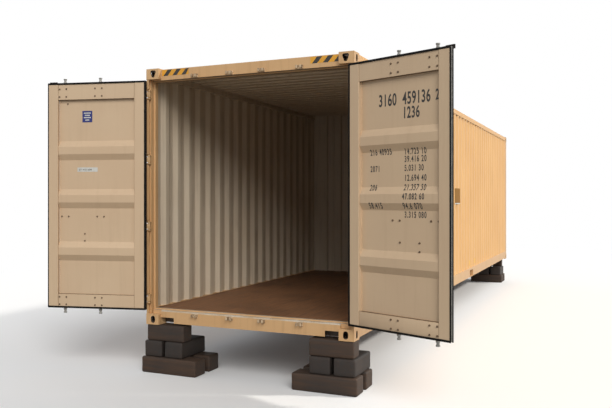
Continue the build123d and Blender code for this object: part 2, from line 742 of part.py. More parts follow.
def hinge_blades():
    """Forged blades on the hinge stile of the right leaf, each with a barrel round its pin."""
    reach = DOOR_RECESS - BLADE_THICKNESS
    outline = at_depth([
        (PIN_DEPTH, PIN_INSET), (PIN_DEPTH + BLADE_NECK_DEPTH, PIN_INSET + BLADE_NECK_INSET),
        (reach, LEAF_EDGE - BLADE_ROOT), (reach, LEAF_EDGE + BLADE_LENGTH),
        (DOOR_RECESS, LEAF_EDGE + BLADE_LENGTH), (DOOR_RECESS, LEAF_EDGE),
        (PIN_DEPTH + BARREL_RADIUS, PIN_INSET),
    ])
    made = []
    half = LUG_SPAN / 2 - LUG_THICKNESS - HINGE_GAP
    for level in HINGE_LEVELS:
        z0 = level - half
        z1 = level + half
        blade = prism_z(outline, z0, z1)
        blade += round_bar(PIN_X, PIN_Y, BARREL_RADIUS, z0, z1)
        blade -= round_bore(PIN_X, PIN_Y, PIN_RADIUS + PIN_CLEARANCE, z0, z1)
        made.append(blade)
    return solids_of(*made)


def rod_brackets():
    """Bearings that hold the two lock rods to the right leaf."""
    face = END_X - DOOR_RECESS
    made = []
    for y in ROD_OFFSETS:
        for level in BRACKET_LEVELS:
            z0 = level - BRACKET_HEIGHT / 2
            z1 = z0 + BRACKET_HEIGHT
            outer = ROD_RADIUS + ROD_CLEARANCE + BRACKET_WALL
            piece = block(face, face + BRACKET_PLATE, y - BRACKET_WIDTH / 2, y + BRACKET_WIDTH / 2, z0, z1)
            piece += block(face, ROD_X, y - outer, y + outer, z0, z1)
            piece += round_bar(ROD_X, y, outer, z0, z1)
            piece -= round_bore(ROD_X, y, ROD_RADIUS + ROD_CLEARANCE, z0, z1)
            made.append(piece)
    return solids_of(*made)


def handle_catches():
    """Catches on the right leaf that the two rod handles rest in."""
    face = END_X - DOOR_RECESS
    low = ROD_X - HANDLE_THICKNESS / 2 - ROD_CLEARANCE
    made = []
    for offset in ROD_OFFSETS:
        y = offset + CATCH_FROM_ROD
        z0 = LIFT + HANDLE_HEIGHT - HANDLE_BAR / 2 - CATCH_LIP
        y0 = y - CATCH_WIDTH / 2
        y1 = y + CATCH_WIDTH / 2
        piece = block(face, low, y0, y1, z0, z0 + HANDLE_BAR + 2 * CATCH_LIP)
        piece += block(low, ROD_X + HANDLE_THICKNESS, y0, y1, z0, z0 + CATCH_LIP - ROD_CLEARANCE)
        made.append(piece)
    return solids_of(*made)


def cam(y, z0):
    """Cam on the end of a lock rod: a flat tongue between two flanges."""
    z1 = z0 + CAM_LENGTH
    half = CAM_THICKNESS / 2
    piece = block(ROD_X - half, ROD_X + half, y - ROD_RADIUS, y + ROD_RADIUS, z0, z1)
    piece += round_bar(ROD_X, y, CAM_FLANGE_RADIUS, z0, z0 + CAM_FLANGE)
    piece += round_bar(ROD_X, y, CAM_FLANGE_RADIUS, z1 - CAM_FLANGE, z1)
    return piece


def lock_rod(y):
    """Lock rod of the right leaf with a cam at each end, its hub and its handle."""
    rod = round_bar(ROD_X, y, ROD_RADIUS, CAM_LOW + CAM_LENGTH, CAM_HIGH - CAM_LENGTH, ROD_SIDES)
    rod += cam(y, CAM_LOW)
    rod += cam(y, CAM_HIGH - CAM_LENGTH)
    middle = LIFT + HANDLE_HEIGHT
    rod += round_bar(ROD_X, y, HUB_RADIUS, middle - HUB_HEIGHT / 2, middle + HUB_HEIGHT / 2)
    rod += block(ROD_X - HANDLE_THICKNESS / 2, ROD_X + HANDLE_THICKNESS / 2,
                 y, y + HANDLE_LENGTH, middle - HANDLE_BAR / 2, middle + HANDLE_BAR / 2)
    return rod


def side_plate():
    """Flat plate fixed to the outer ribs of the right side wall."""
    x1 = END_X - PLATE_FROM_DOOR
    y0 = SIDE_Y - WALL_INSET
    z0 = LIFT + PLATE_BOTTOM
    return block(x1 - PLATE_LENGTH, x1, y0, y0 + PLATE_THICKNESS, z0, z0 + PLATE_HEIGHT)


def timber_course(level, across, width, length, gap, count, outset):
    """Timbers under every corner at one level of the packing, across or along the container."""
    z0 = level * TIMBER_HEIGHT
    front = END_X + outset
    outer = SIDE_Y + outset
    made = []
    for number in range(count):
        step = number * (width + gap)
        if across:
            timber = block(front - step - width, front - step, outer - length, outer, z0, z0 + TIMBER_HEIGHT)
        else:
            timber = block(front - length, front, outer - step - width, outer - step, z0, z0 + TIMBER_HEIGHT)
        made.append(timber)
    right_door_end = solids_of(*made)
    right_blind_end = mirror_x(Pos(0, -REAR_TIMBER_INSET, 0) * right_door_end)
    right = solids_of(right_door_end, right_blind_end)
    return solids_of(right, mirror_y(right))


def swing(shape, side):
    """Swings a shut piece of the right leaf to its open rest place, or makes the left leaf's."""
    if side == "right":
        axis = Axis((PIN_X, PIN_Y, 0), (0, 0, 1))
        return shape.rotate(axis, REST_ANGLE_RIGHT)
    axis = Axis((PIN_X, -PIN_Y, 0), (0, 0, 1))
    return mirror_y(shape).rotate(axis, -REST_ANGLE_LEFT)


def frame_pieces():
    """Every piece that stays put, by name."""
    pieces = {
        "timber_bottom_course": timber_course(
            0, True, BOTTOM_TIMBER_WIDTH, BOTTOM_TIMBER_LENGTH, BOTTOM_TIMBER_GAP, 2,
            BOTTOM_TIMBER_OUTSET),
        "timber_middle_course": timber_course(
            1, False, MIDDLE_TIMBER_WIDTH, MIDDLE_TIMBER_LENGTH, MIDDLE_TIMBER_GAP, 2,
            MIDDLE_TIMBER_OUTSET),
        "timber_top_course": timber_course(
            2, True, TOP_TIMBER_WIDTH, TOP_TIMBER_LENGTH, 0, 1, TOP_TIMBER_OUTSET),
        "bottom_corner_castings": four_castings(LIFT, False),
        "top_corner_castings": four_castings(UPPER_CASTING, True),
        "right_bottom_side_rail": bottom_side_rail(),
        "left_bottom_side_rail": mirror_y(bottom_side_rail()),
        "right_top_side_rail": top_side_rail(),
        "left_top_side_rail": mirror_y(top_side_rail()),
        "cross_members": cross_members(),
        "fork_pockets": fork_pockets(),
        "floor_deck": floor_deck(),
        "right_side_wall": side_wall(),
        "left_side_wall": mirror_y(side_wall()),
        "roof_sheet": roof_sheet(),
        "end_wall": end_wall(),
        "bulkhead": bulkhead(),
        "right_blind_post": blind_post(),
        "left_blind_post": mirror_y(blind_post()),
        "blind_end_sill": blind_rail(SILL_LOW, SILL_LOW + BLIND_SILL_HEIGHT),
        "blind_end_header": blind_header(),
        "right_door_post": door_post(),
        "left_door_post": mirror_y(door_post()),
        "door_header": door_header(),
        "door_sill": door_sill(),
        "cam_keepers": cam_keepers(),
        "hinge_lugs": hinge_lugs(),
        "hinge_pins": hinge_pins(),
        "side_plate": side_plate(),
    }
    return pieces


def door_pieces():
    """Every piece of both leaves at their open rest place, by name."""
    shut = {
        "door_stiles": leaf_stiles(),
        "door_rails": leaf_rails(),
        "door_panel": leaf_panel(),
        "door_gasket": leaf_gasket(),
        "hinge_blades": hinge_blades(),
        "rod_brackets": rod_brackets(),
        "handle_catches": handle_catches(),
        "inner_lock_rod": lock_rod(ROD_OFFSETS[0]),
        "outer_lock_rod": lock_rod(ROD_OFFSETS[1]),
    }
    pieces = {}
    for side in ("right", "left"):
        for name, shape in shut.items():
            pieces[f"{side}_{name}"] = swing(shape, side)
    return pieces


def all_pieces():
    """Every piece of the container by name, with X = 0 at its middle."""
    return {**frame_pieces(), **door_pieces()}


def middle_of_whole(pieces):
    """X of the middle of everything, open doors included."""
    boxes = [shape.bounding_box() for shape in pieces.values()]
    return (min(box.min.X for box in boxes) + max(box.max.X for box in boxes)) / 2


def main():
    """Builds every piece and writes each to its own file, with X = 0 under the middle of the whole."""
    os.makedirs("parts", exist_ok=True)
    pieces = all_pieces()
    shift = Pos(-middle_of_whole(pieces), 0, 0)
    for name, shape in pieces.items():
        export_step(shift * shape, f"parts/{name}.step")


if __name__ == "__main__":
    main()
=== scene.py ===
# %% [markdown]
# # A high cube shipping container with its doors open
#
# The object is a forty foot steel box: corrugated sheet walls welded between two end frames,
# a plywood floor, and two door leaves that swing right round on pinned hinges. Its solids come
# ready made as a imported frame. This lesson dresses them: it gives each one a finish, rolls the
# corrugated sheets again with rounded folds, and adds the bolts, boards, seals and worn timber
# that make it look used. Sizes are in metres, with the doors at +X and Z upwards.

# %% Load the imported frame
import json
import math

import bmesh
import bpy
from mathutils import Matrix, Vector, noise

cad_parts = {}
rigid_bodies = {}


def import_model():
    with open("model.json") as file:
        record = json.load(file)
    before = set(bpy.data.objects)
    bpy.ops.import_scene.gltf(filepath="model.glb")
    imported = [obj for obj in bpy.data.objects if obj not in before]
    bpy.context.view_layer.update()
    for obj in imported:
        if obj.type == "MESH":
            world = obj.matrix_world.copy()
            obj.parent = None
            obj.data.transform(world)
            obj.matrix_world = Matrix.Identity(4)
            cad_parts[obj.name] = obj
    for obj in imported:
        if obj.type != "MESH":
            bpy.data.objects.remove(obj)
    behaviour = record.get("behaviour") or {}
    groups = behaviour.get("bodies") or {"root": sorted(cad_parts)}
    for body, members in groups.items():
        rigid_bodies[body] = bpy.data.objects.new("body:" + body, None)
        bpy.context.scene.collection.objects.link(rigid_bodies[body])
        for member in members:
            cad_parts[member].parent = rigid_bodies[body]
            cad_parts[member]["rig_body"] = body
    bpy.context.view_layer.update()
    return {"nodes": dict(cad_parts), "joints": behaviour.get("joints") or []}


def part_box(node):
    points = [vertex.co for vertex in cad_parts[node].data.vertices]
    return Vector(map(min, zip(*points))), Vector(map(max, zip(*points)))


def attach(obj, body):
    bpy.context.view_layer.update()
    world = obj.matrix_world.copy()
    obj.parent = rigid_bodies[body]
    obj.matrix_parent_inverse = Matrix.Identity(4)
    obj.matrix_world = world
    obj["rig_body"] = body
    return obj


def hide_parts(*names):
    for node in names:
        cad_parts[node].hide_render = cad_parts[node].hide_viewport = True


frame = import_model()
nodes = frame["nodes"]
door_plane, side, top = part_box("top_corner_castings")[1]
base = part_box("bottom_corner_castings")[0].z
print("nodes", len(nodes), "door plane", round(door_plane, 4), "top", round(top, 3))

# %% [markdown]
# ## The camera
# The view is taken a little right of the doors, from about eye height, with a moderately wide
# lens. Upright edges stay upright in it, so the camera is level, and the part of the picture
# that it keeps is set with shift, the way a print is cropped.

# %% Place the camera
CAMERA_FROM_DOORS = (7.42, 3.51)
CAMERA_HEIGHT = 1.96
CAMERA_TURN = math.radians(27.2)
LENS, SENSOR = 45.3, 36.0
CROP = (0.144, -0.008)


def show(name, data):
    """A new object at the origin that shows some data."""
    thing = bpy.data.objects.new(name, data)
    bpy.context.scene.collection.objects.link(thing)
    return thing


camera_data = bpy.data.cameras.new("photo_camera")
camera_data.lens, camera_data.sensor_width = LENS, SENSOR
camera_data.shift_x, camera_data.shift_y = CROP
camera = show("photo_camera", camera_data)
camera.location = (door_plane + CAMERA_FROM_DOORS[0], CAMERA_FROM_DOORS[1], CAMERA_HEIGHT)
look = Vector((-math.cos(CAMERA_TURN), -math.sin(CAMERA_TURN), 0))
camera.rotation_euler = look.to_track_quat("-Z", "Y").to_euler()
bpy.context.scene.camera = camera
print("camera at", tuple(round(value, 3) for value in camera.location))

# %% [markdown]
# ## Small helpers for nodes
# Materials and Geometry Nodes are both trees of nodes. One helper adds a node and fills its
# inputs: a socket given as a value is linked, and anything else is written on the input. The
# others name the few moves that every finish is made of.

# %% Helpers for nodes
def fill(tree, node, inputs):
    """Fills inputs of a node: a socket is linked, and any other value is written."""
    for key, value in dict(inputs).items():
        if isinstance(value, bpy.types.NodeSocket):
            tree.links.new(value, node.inputs[key])
        else:
            node.inputs[key].default_value = value
    return node


def put(tree, kind, inputs=(), **settings):
    """Adds one node to a tree, with its settings and inputs."""
    node = tree.nodes.new(kind)
    for name, value in settings.items():
        setattr(node, name, value)
    return fill(tree, node, inputs)


def made(tree, kind, inputs=(), **settings):
    """The first output of a node that is added to a tree."""
    return put(tree, kind, inputs, **settings).outputs[0]


def calc(tree, operation, first, second=0.0):
    """One sum on two numbers."""
    return made(tree, "ShaderNodeMath", {0: first, 1: second}, operation=operation)


print("node helpers ready")

# %% Helpers for colours and patterns
def shade(*colour):
    """A colour from 0 to 255 as a screen shows it, made linear."""
    shares = [value / 255 for value in colour]
    return (*[share / 12.92 if share <= 0.04045 else ((share + 0.055) / 1.055) ** 2.4
              for share in shares], 1.0)


def stretched(tree, place, *scale):
    """The same place with its scale changed along each axis, to draw a pattern out."""
    return made(tree, "ShaderNodeMapping", {"Vector": place, "Scale": scale})


def clouds(tree, place, scale, detail=4.0, rough=0.55):
    """Soft noise between 0 and 1 at a place."""
    return made(tree, "ShaderNodeTexNoise",
                {"Vector": place, "Scale": scale, "Detail": detail, "Roughness": rough})


def band(tree, value, low, high):
    """0 below low, 1 above high, and a straight climb between them."""
    return made(tree, "ShaderNodeMapRange", {"Value": value, "From Min": low, "From Max": high})


def between(tree, value, low, high):
    """Low where the value is 0, high where it is 1."""
    return made(tree, "ShaderNodeMapRange", {"Value": value, "To Min": low, "To Max": high})


def times(tree, first, second):
    """Two numbers multiplied."""
    return calc(tree, "MULTIPLY", first, second)


def tint(tree, factor, first, second):
    """The first colour going over into the second."""
    return put(tree, "ShaderNodeMix", {0: factor, 6: first, 7: second},
               data_type="RGBA").outputs[2]


def relief(tree, height, strength, depth, **under):
    """A surface pushed in and out by a height, over another one if Normal names it."""
    return made(tree, "ShaderNodeBump",
                {"Height": height, "Strength": strength, "Distance": depth, **under})


def fresh_material(name):
    """An empty node material: its tree, its shader and the object's own coordinates."""
    material = bpy.data.materials.new(name)
    material.use_nodes = True
    tree = material.node_tree
    shader = tree.nodes["Principled BSDF"]
    place = put(tree, "ShaderNodeTexCoord").outputs["Object"]
    return material, tree, shader, place


print("the colour", shade(221, 172, 111), "is a sandy paint")

# %% [markdown]
# ## Floor, backdrop and light
# The container stands on white, with sun on its right side wall and open shade on its doors. A
# pale floor keeps its shadow and fades into a white world further out. A broad sun lamp from
# the right and a little behind, a very soft one in front of the doors, and an even world light
# do the rest. The world is seen as pure white, which costs the container no extra light.

# %% Set the stage
# Each lamp: where its light comes from, its strength, its softness in degrees and its colour.
LAMPS = {"broad_sun": ((-0.35, 0.75, 0.56), 2.0, 4, (1.0, 0.95, 0.87)),
         "open_sky_in_front": ((0.75, 0.42, 0.56), 1.95, 36, (1.0, 0.985, 0.96))}
WHITE, COOL_WHITE = (1.0, 1.0, 1.0, 1.0), (0.93, 0.96, 1.0, 1.0)
SKY_STRENGTH = 0.42
FLOOR_HALF = 30.0
FLOOR_BOUNCE, FLOOR_SEEN = (0.15, 0.14, 0.12, 1.0), (0.93, 0.93, 0.93, 1.0)
FADE_FROM, FADE_TO = 4.0, 11.0


def mesh_of(name, corners, faces=(), edges=()):
    """A mesh from its corners and the faces or edges between them."""
    mesh = bpy.data.meshes.new(name)
    mesh.from_pydata(corners, edges, faces)
    return mesh


def seen_directly(tree):
    """1 for what the camera, a reflection or a clear pane sees, and 0 for light on its way."""
    rays = put(tree, "ShaderNodeLightPath").outputs
    seen = calc(tree, "MAXIMUM", rays["Is Camera Ray"], rays["Is Glossy Ray"])
    return calc(tree, "MAXIMUM", seen, rays["Is Transmission Ray"])


def white_sky():
    """A sky that lights evenly and is seen as white."""
    world = bpy.data.worlds.new("studio_sky")
    bpy.context.scene.world = world
    world.use_nodes = True
    tree = world.node_tree
    seen = seen_directly(tree)
    fill(tree, tree.nodes["Background"], {"Color": tint(tree, seen, COOL_WHITE, WHITE),
                                          "Strength": between(tree, seen, SKY_STRENGTH, 1.0)})


def pale_floor():
    """A floor that keeps shadows near the container and fades to white further out."""
    far = FLOOR_HALF
    floor = show("studio_floor", mesh_of(
        "studio_floor", [(-far, -far, 0), (far, -far, 0), (far, far, 0), (-far, far, 0)],
        [(0, 1, 2, 3)]))
    material, tree, shader, place = fresh_material("studio_floor")
    seen = seen_directly(tree)
    fill(tree, shader, {"Base Color": tint(tree, seen, FLOOR_BOUNCE, FLOOR_SEEN),
                        "Roughness": 0.9})
    white = made(tree, "ShaderNodeEmission", {"Strength": 1.0})
    away = put(tree, "ShaderNodeVectorMath", {0: stretched(tree, place, 0.55, 1.0, 0.0)},
               operation="LENGTH").outputs["Value"]
    fade = times(tree, band(tree, away, FADE_FROM, FADE_TO), seen)
    mixed = made(tree, "ShaderNodeMixShader", {0: fade, 1: shader.outputs[0], 2: white})
    fill(tree, tree.nodes["Material Output"], {"Surface": mixed})
    floor.data.materials.append(material)


white_sky()
pale_floor()
for name, (come_from, strength, softness, colour) in LAMPS.items():
    lamp_data = bpy.data.lights.new(name, "SUN")
    lamp_data.energy, lamp_data.color = strength, colour
    lamp_data.angle = math.radians(softness)
    lamp = show(name, lamp_data)
    lamp.rotation_euler = (-Vector(come_from)).to_track_quat("-Z", "Y").to_euler()
bpy.context.scene.view_settings.view_transform = "Standard"
print("lamps", list(LAMPS), "sky", SKY_STRENGTH)

# %% [markdown]
# ## Paint
# A container is shot blasted and sprayed with a thick, slightly uneven coat. Years outdoors fade
# it in soft clouds, rain draws dirt down it in narrow upright runs, and stone chips and weld
# heat let rust through in small specks. Each of these is one layer of noise read from the
# object's own coordinates, so the marks keep their size and stay on the steel when a door moves.

# %% Make the paints
RUST = shade(104, 58, 32)
DENT_DEPTH, PEEL_DEPTH = 0.012, 0.0006


def paint(name, colour, faded, dirt, runs=0.35, specks=0.3, rough=0.5, shine=0.5, size=1.0):
    """Sprayed steel: faded clouds, upright dirt runs, rust specks, orange peel and soft dents."""
    material, tree, shader, place = fresh_material(name)
    cloud = band(tree, clouds(tree, place, 0.9 * size, 6), 0.35, 0.68)
    coat = tint(tree, cloud, shade(*colour), shade(*faded))
    tall = stretched(tree, place, 9, 9, 0.55)
    run = band(tree, clouds(tree, tall, 1.6 * size, 7, 0.62), 0.52, 0.78)
    coat = tint(tree, times(tree, run, runs), coat, shade(*dirt))
    chips = band(tree, clouds(tree, place, 21, 8, 0.68), 0.685, 0.72)
    areas = band(tree, clouds(tree, place, 1.7 * size, 3), 0.5, 0.62)
    coat = tint(tree, times(tree, times(tree, chips, areas), specks), coat, RUST)
    dents = relief(tree, clouds(tree, place, 1.4, 2), 0.35, DENT_DEPTH)
    peel = relief(tree, clouds(tree, place, 240, 2), 0.25, PEEL_DEPTH, Normal=dents)
    fill(tree, shader, {"Base Color": coat, "Normal": peel, "Specular IOR Level": shine,
                        "Roughness": between(tree, cloud, rough - 0.07, rough + 0.1)})
    return material


frame_paint = paint("frame_paint", (206, 163, 114), (214, 176, 130), (146, 108, 70))
wall_paint = paint("wall_paint", (221, 172, 111), (229, 183, 125), (176, 128, 78), runs=0.3)
door_paint = paint("door_paint", (204, 176, 144), (210, 184, 152), (164, 134, 102), runs=0.16,
                   specks=0.12)
inner_paint = paint("inner_paint", (200, 183, 159), (208, 193, 171), (130, 110, 86), runs=0.4)
keeper_paint = paint("keeper_paint", (228, 202, 166), (128, 98, 68), (60, 43, 30), runs=1.0,
                     specks=1.0, size=18)
hinge_paint = paint("hinge_paint", (198, 158, 110), (206, 170, 124), (120, 86, 54), runs=0.6,
                    size=4)
scraped_paint = paint("scraped_paint", (186, 162, 132), (204, 194, 178), (120, 92, 66), runs=0.8,
                      size=5)
bolt_dark = paint("bolt_dark", (92, 73, 55), (126, 102, 78), (56, 43, 34), runs=0.8, specks=1.0,
                  size=8)
# Near black: partly dirt and partly painted shade in the castings' hollows, and painted shade in
# the sill's notches and on the stiffeners behind them.
hollow_dark = paint("hollow_dark", (52, 40, 30), (70, 54, 40), (34, 27, 22), runs=0.8, size=6)
# Dark brown for dirt on the lower rails' tops, and painted shade on the top rails' undersides.
ledge_dirt = paint("ledge_dirt", (92, 68, 46), (112, 86, 60), (58, 43, 31), runs=0.6, size=5)
# Dark brown for dirt in welded seams, and painted shade on the header's underside and along the
# leaves' rails.
seam_dirt = paint("seam_dirt", (134, 106, 76), (150, 122, 92), (84, 64, 46), runs=0.6, size=5)
plate_paint = paint("plate_paint", (146, 103, 46), (158, 116, 58), (92, 66, 34), runs=0.4,
                    rough=0.75, shine=0.15)
print("paints from", frame_paint.name, "to", plate_paint.name)

# %% [markdown]
# ## Zinc and rubber
# The lock gear is galvanised: dull grey zinc with a crystal spangle, whitened where it stays wet.
# The door seals are black rubber, matt and dusty, with a fine grain.

# %% Make the zinc and the rubber
def zinc(name):
    """Hot dipped zinc with its spangle, white bloom and a little rust."""
    material, tree, shader, place = fresh_material(name)
    spangle = put(tree, "ShaderNodeTexVoronoi", {"Vector": place, "Scale": 130.0})
    grey = made(tree, "ShaderNodeSeparateColor", {0: spangle.outputs["Color"]})
    coat = tint(tree, grey, shade(126, 125, 122), shade(168, 167, 162))
    bloom = band(tree, clouds(tree, place, 9, 6), 0.5, 0.72)
    coat = tint(tree, times(tree, bloom, 0.6), coat, shade(196, 192, 182))
    stain = band(tree, clouds(tree, place, 16, 8, 0.7), 0.62, 0.7)
    coat = tint(tree, times(tree, stain, 0.7), coat, shade(110, 72, 46))
    skin = relief(tree, clouds(tree, place, 160, 3), 0.3, 0.0006)
    fill(tree, shader, {"Base Color": coat, "Normal": skin, "Metallic": 0.55,
                        "Roughness": between(tree, grey, 0.36, 0.58)})
    return material


def rubber(name):
    """Black seal rubber, greyed with dust where it catches it."""
    material, tree, shader, place = fresh_material(name)
    dust = band(tree, clouds(tree, place, 6, 7), 0.45, 0.75)
    coat = tint(tree, times(tree, dust, 0.4), shade(15, 14, 14), shade(52, 47, 42))
    skin = relief(tree, clouds(tree, place, 120, 4), 0.4, 0.0008)
    fill(tree, shader, {"Base Color": coat, "Normal": skin, "Specular IOR Level": 0.12,
                        "Roughness": between(tree, dust, 0.72, 0.92)})
    return material


galvanised = zinc("galvanised_steel")
seal_rubber = rubber("seal_rubber")
print("materials", galvanised.name, seal_rubber.name)

# %% [markdown]
# ## Wood
# The floor is oiled plywood, walked on and scraped by loads along the container. The packing
# under the corners is old hardwood, almost black with oil and weather. Both get their grain from
# noise that is drawn out along the timber.

# %% Make the woods
def timber(name, light, dark, grime, along):
    """Wood whose grain runs along one axis, with scrapes and grime."""
    material, tree, shader, place = fresh_material(name)
    pull = [14.0, 14.0, 14.0]
    pull[along] = 0.8
    drawn = stretched(tree, place, *pull)
    grain = clouds(tree, drawn, 2.2, 9, 0.65)
    coat = tint(tree, band(tree, grain, 0.32, 0.68), shade(*dark), shade(*light))
    scrapes = band(tree, clouds(tree, stretched(tree, drawn, 6, 6, 6), 3.0, 6, 0.7), 0.55, 0.75)
    coat = tint(tree, times(tree, scrapes, 0.45), coat, shade(*grime))
    areas = band(tree, clouds(tree, place, 1.6, 6), 0.45, 0.7)
    coat = tint(tree, times(tree, areas, 0.55), coat, shade(*grime))
    tone = put(tree, "ShaderNodeAttribute", attribute_name="board_tone").outputs["Fac"]
    coat = tint(tree, times(tree, tone, 0.25), coat, shade(*light))
    fill(tree, shader, {"Base Color": coat, "Normal": relief(tree, grain, 0.6, 0.002),
                        "Roughness": between(tree, grain, 0.58, 0.85)})
    return material


plywood = timber("floor_plywood", (146, 102, 67), (90, 60, 37), (66, 44, 29), along=0)
sleeper_across = timber("packing_across", (72, 50, 33), (36, 27, 20), (22, 18, 15), along=1)
sleeper_along = timber("packing_along", (48, 35, 26), (27, 21, 17), (17, 15, 13), along=0)
print("woods", plywood.name, sleeper_across.name, sleeper_along.name)

# %% [markdown]
# ## A finish for every solid
# Every solid of the frame gets its finish by name first, so nothing is left grey. Later steps
# replace some of them with finer pieces.

# %% Finish the solids
FINISHES = {"timber_middle": sleeper_along, "timber": sleeper_across, "floor_deck": plywood,
            "gasket": seal_rubber, "lock_rod": galvanised, "brackets": galvanised,
            "catches": galvanised, "keepers": keeper_paint, "_wall": wall_paint,
            "_sheet": wall_paint, "bulkhead": wall_paint, "door_stiles": door_paint,
            "door_rails": door_paint, "door_panel": door_paint, "side_plate": plate_paint}


def finish_for(name):
    """The finish of the first word that a solid's name holds, or else the frame's paint."""
    return next((finish for word, finish in FINISHES.items() if word in name), frame_paint)


for name, solid in nodes.items():
    solid.data.materials.clear()
    solid.data.materials.append(finish_for(name))
print("finished", len(nodes), "solids")

# %% [markdown]
# ## Turning modifiers into plain pieces
# A piece is worked on with modifiers, then baked: the evaluated mesh becomes the piece's own,
# the modifiers go, and it is told which body it moves with and which solids it stands for.

# %% Helpers for pieces
def bake(piece):
    """Makes what the modifiers show the piece's own plain mesh."""
    graph = bpy.context.evaluated_depsgraph_get()
    plain = bpy.data.meshes.new_from_object(piece.evaluated_get(graph))
    piece.modifiers.clear()
    piece.data = plain
    return piece


def round_edges(piece, width, segments=2):
    """Rounds a piece's sharp edges with a Bevel modifier."""
    bevel = piece.modifiers.new("round", "BEVEL")
    bevel.width, bevel.segments = width, segments
    bevel.limit_method, bevel.angle_limit = "ANGLE", math.radians(40)
    return bake(piece)


def shade_curves(piece, crisp=32):
    """Shades a piece's curves smooth and keeps edges that turn more than an angle crisp."""
    piece.data.shade_smooth()
    piece.data.set_sharp_from_angle(angle=math.radians(crisp))


def even_shading(piece):
    """Shades folds smooth and keeps the flats between them evenly lit."""
    shade_curves(piece)
    piece.modifiers.new("weigh", "WEIGHTED_NORMAL").keep_sharp = True
    return bake(piece)


def set_in_place(mesh, place):
    """Moves a mesh to its place, and turns its faces round again where the place mirrors it."""
    mesh.transform(place)
    if place.determinant() < 0:
        mesh.flip_normals()
    return mesh


def settle(piece, body, slot, *stands_for):
    """Gives a piece its body and hides the solids that it stands for; slot is not used."""
    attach(piece, body)
    if stands_for:
        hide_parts(*stands_for)
    triangles = sum(len(face.vertices) - 2 for face in piece.data.polygons)
    print(piece.name, "on", body, "triangles", triangles)
    return piece


print("piece helpers ready")

# %% [markdown]
# ## Parts
# A cut or turned part is a list of corners and a list of faces. Plain functions make the three
# kinds that lock gear and hinges need, and parts are joined into one piece before its edges are
# rounded. Many parts come in pairs, one mirrored to the other side of the container.

# %% Helpers for parts
MIRROR = Matrix.Diagonal((1, -1, 1, 1))
X, Y, Z = (Vector(row) for row in Matrix.Identity(3))


def laid_along(x, y, z, origin):
    """The matrix that lays a mesh's own three axes along given directions from an origin."""
    return Matrix.Translation(origin) @ Matrix((x, y, z)).transposed().to_4x4()


def circle(centre, radius, sides=24):
    """Points round a circle, counter-clockwise."""
    return [(centre[0] + radius * math.cos(step * math.tau / sides),
             centre[1] + radius * math.sin(step * math.tau / sides)) for step in range(sides)]


def turned(profile, centre, level=0.0, sides=24):
    """A round part: (radius, height) points, from low to high, spun about an upright line."""
    corners = [(x, y, level + height) for radius, height in profile
               for x, y in circle(centre, radius, sides)]
    faces = [(ring + step, ring + (step + 1) % sides, ring + sides + (step + 1) % sides,
              ring + sides + step)
             for ring in range(0, (len(profile) - 1) * sides, sides) for step in range(sides)]
    last = (len(profile) - 1) * sides
    return corners, faces + [tuple(reversed(range(sides))), tuple(range(last, last + sides))]


def prism(outline, low, high):
    """An outline in X and Y, counter-clockwise from above, raised between two heights."""
    count = len(outline)
    corners = [(x, y, height) for height in (low, high) for x, y in outline]
    faces = [(step, (step + 1) % count, (step + 1) % count + count, step + count)
             for step in range(count)]
    return corners, faces + [tuple(reversed(range(count))), tuple(range(count, 2 * count))]


def slab(low, high):
    """A box between two corners, as a part."""
    (x0, y0, z0), (x1, y1, z1) = low, high
    return prism([(x0, y0), (x1, y0), (x1, y1), (x0, y1)], z0, z1)


def laid(part, place):
    """A part moved by a matrix."""
    corners, faces = part
    if place.determinant() < 0:
        faces = [tuple(reversed(face)) for face in faces]
    return [tuple(place @ Vector(corner)) for corner in corners], faces


def both_sides(parts):
    """Parts, and the same parts mirrored to the other side of the container."""
    return parts + [laid(part, MIRROR) for part in parts]


def part_piece(name, parts, finish, body, slot, *stands_for, place=Matrix(), edge=0.0012,
               crisp=32):
    """Joins parts into one piece, rounds its edges, sets it in place and shades its curves."""
    corners, faces = [], []
    for part_corners, part_faces in parts:
        start = len(corners)
        corners += part_corners
        faces += [tuple(start + number for number in face) for face in part_faces]
    mesh = mesh_of(name, corners, faces)
    mesh.materials.append(finish)
    piece = show(name, mesh)
    if edge:
        round_edges(piece, edge)
    else:
        bake(piece)
    set_in_place(piece.data, place)
    shade_curves(piece, crisp)
    return settle(piece, body, slot, *stands_for)


print("part helpers ready")

# %% [markdown]
# ## Rounded steel edges
# Folded plate and castings never have a knife edge: a bend has a radius, and a casting is
# rounded all over. A Bevel modifier on a copy of the solid gives each edge a small round that
# catches the light, which does more for the look than any texture.

# %% Round the frame's edges
PLATE_ROUND = 0.0018
CASTING = (0.178, 0.162, 0.118)
CASTING_SKIN = 0.004
SAME_SPOT = 0.00001


def merged_copy(node):
    """A copy of a solid's mesh with its loose triangles joined into clean flat faces."""
    work = bmesh.new()
    work.from_mesh(nodes[node].data)
    bmesh.ops.remove_doubles(work, verts=work.verts, dist=SAME_SPOT)
    bmesh.ops.dissolve_limit(work, angle_limit=math.radians(1), verts=work.verts,
                             edges=work.edges)
    mesh = bpy.data.meshes.new(node)
    work.to_mesh(mesh)
    work.free()
    return mesh


def softened(node, slot="frame_paint", width=PLATE_ROUND, segments=2):
    """The solid again with rounded edges, in its place."""
    piece = show(node.replace("_", "-") + "-rounded", merged_copy(node))
    piece.data.materials.append(finish_for(node))
    round_edges(piece, width, segments)
    return settle(piece, nodes[node]["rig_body"], slot, node)


def refinish(piece, finish, chosen):
    """Gives the faces that a test picks another finish."""
    piece.data.materials.append(finish)
    number = len(piece.data.materials) - 1
    for face in piece.data.polygons:
        if chosen(face.center, face.normal):
            face.material_index = number
    return piece


def in_hollow(centre, low, high):
    """Whether a face of a casting looks into its hollow."""
    reach = [min(centre[axis] - low[axis], high[axis] - centre[axis]) for axis in range(3)]
    return min(reach) > CASTING_SKIN and all(
        CASTING[axis] - reach[axis] > CASTING_SKIN for axis in range(2))
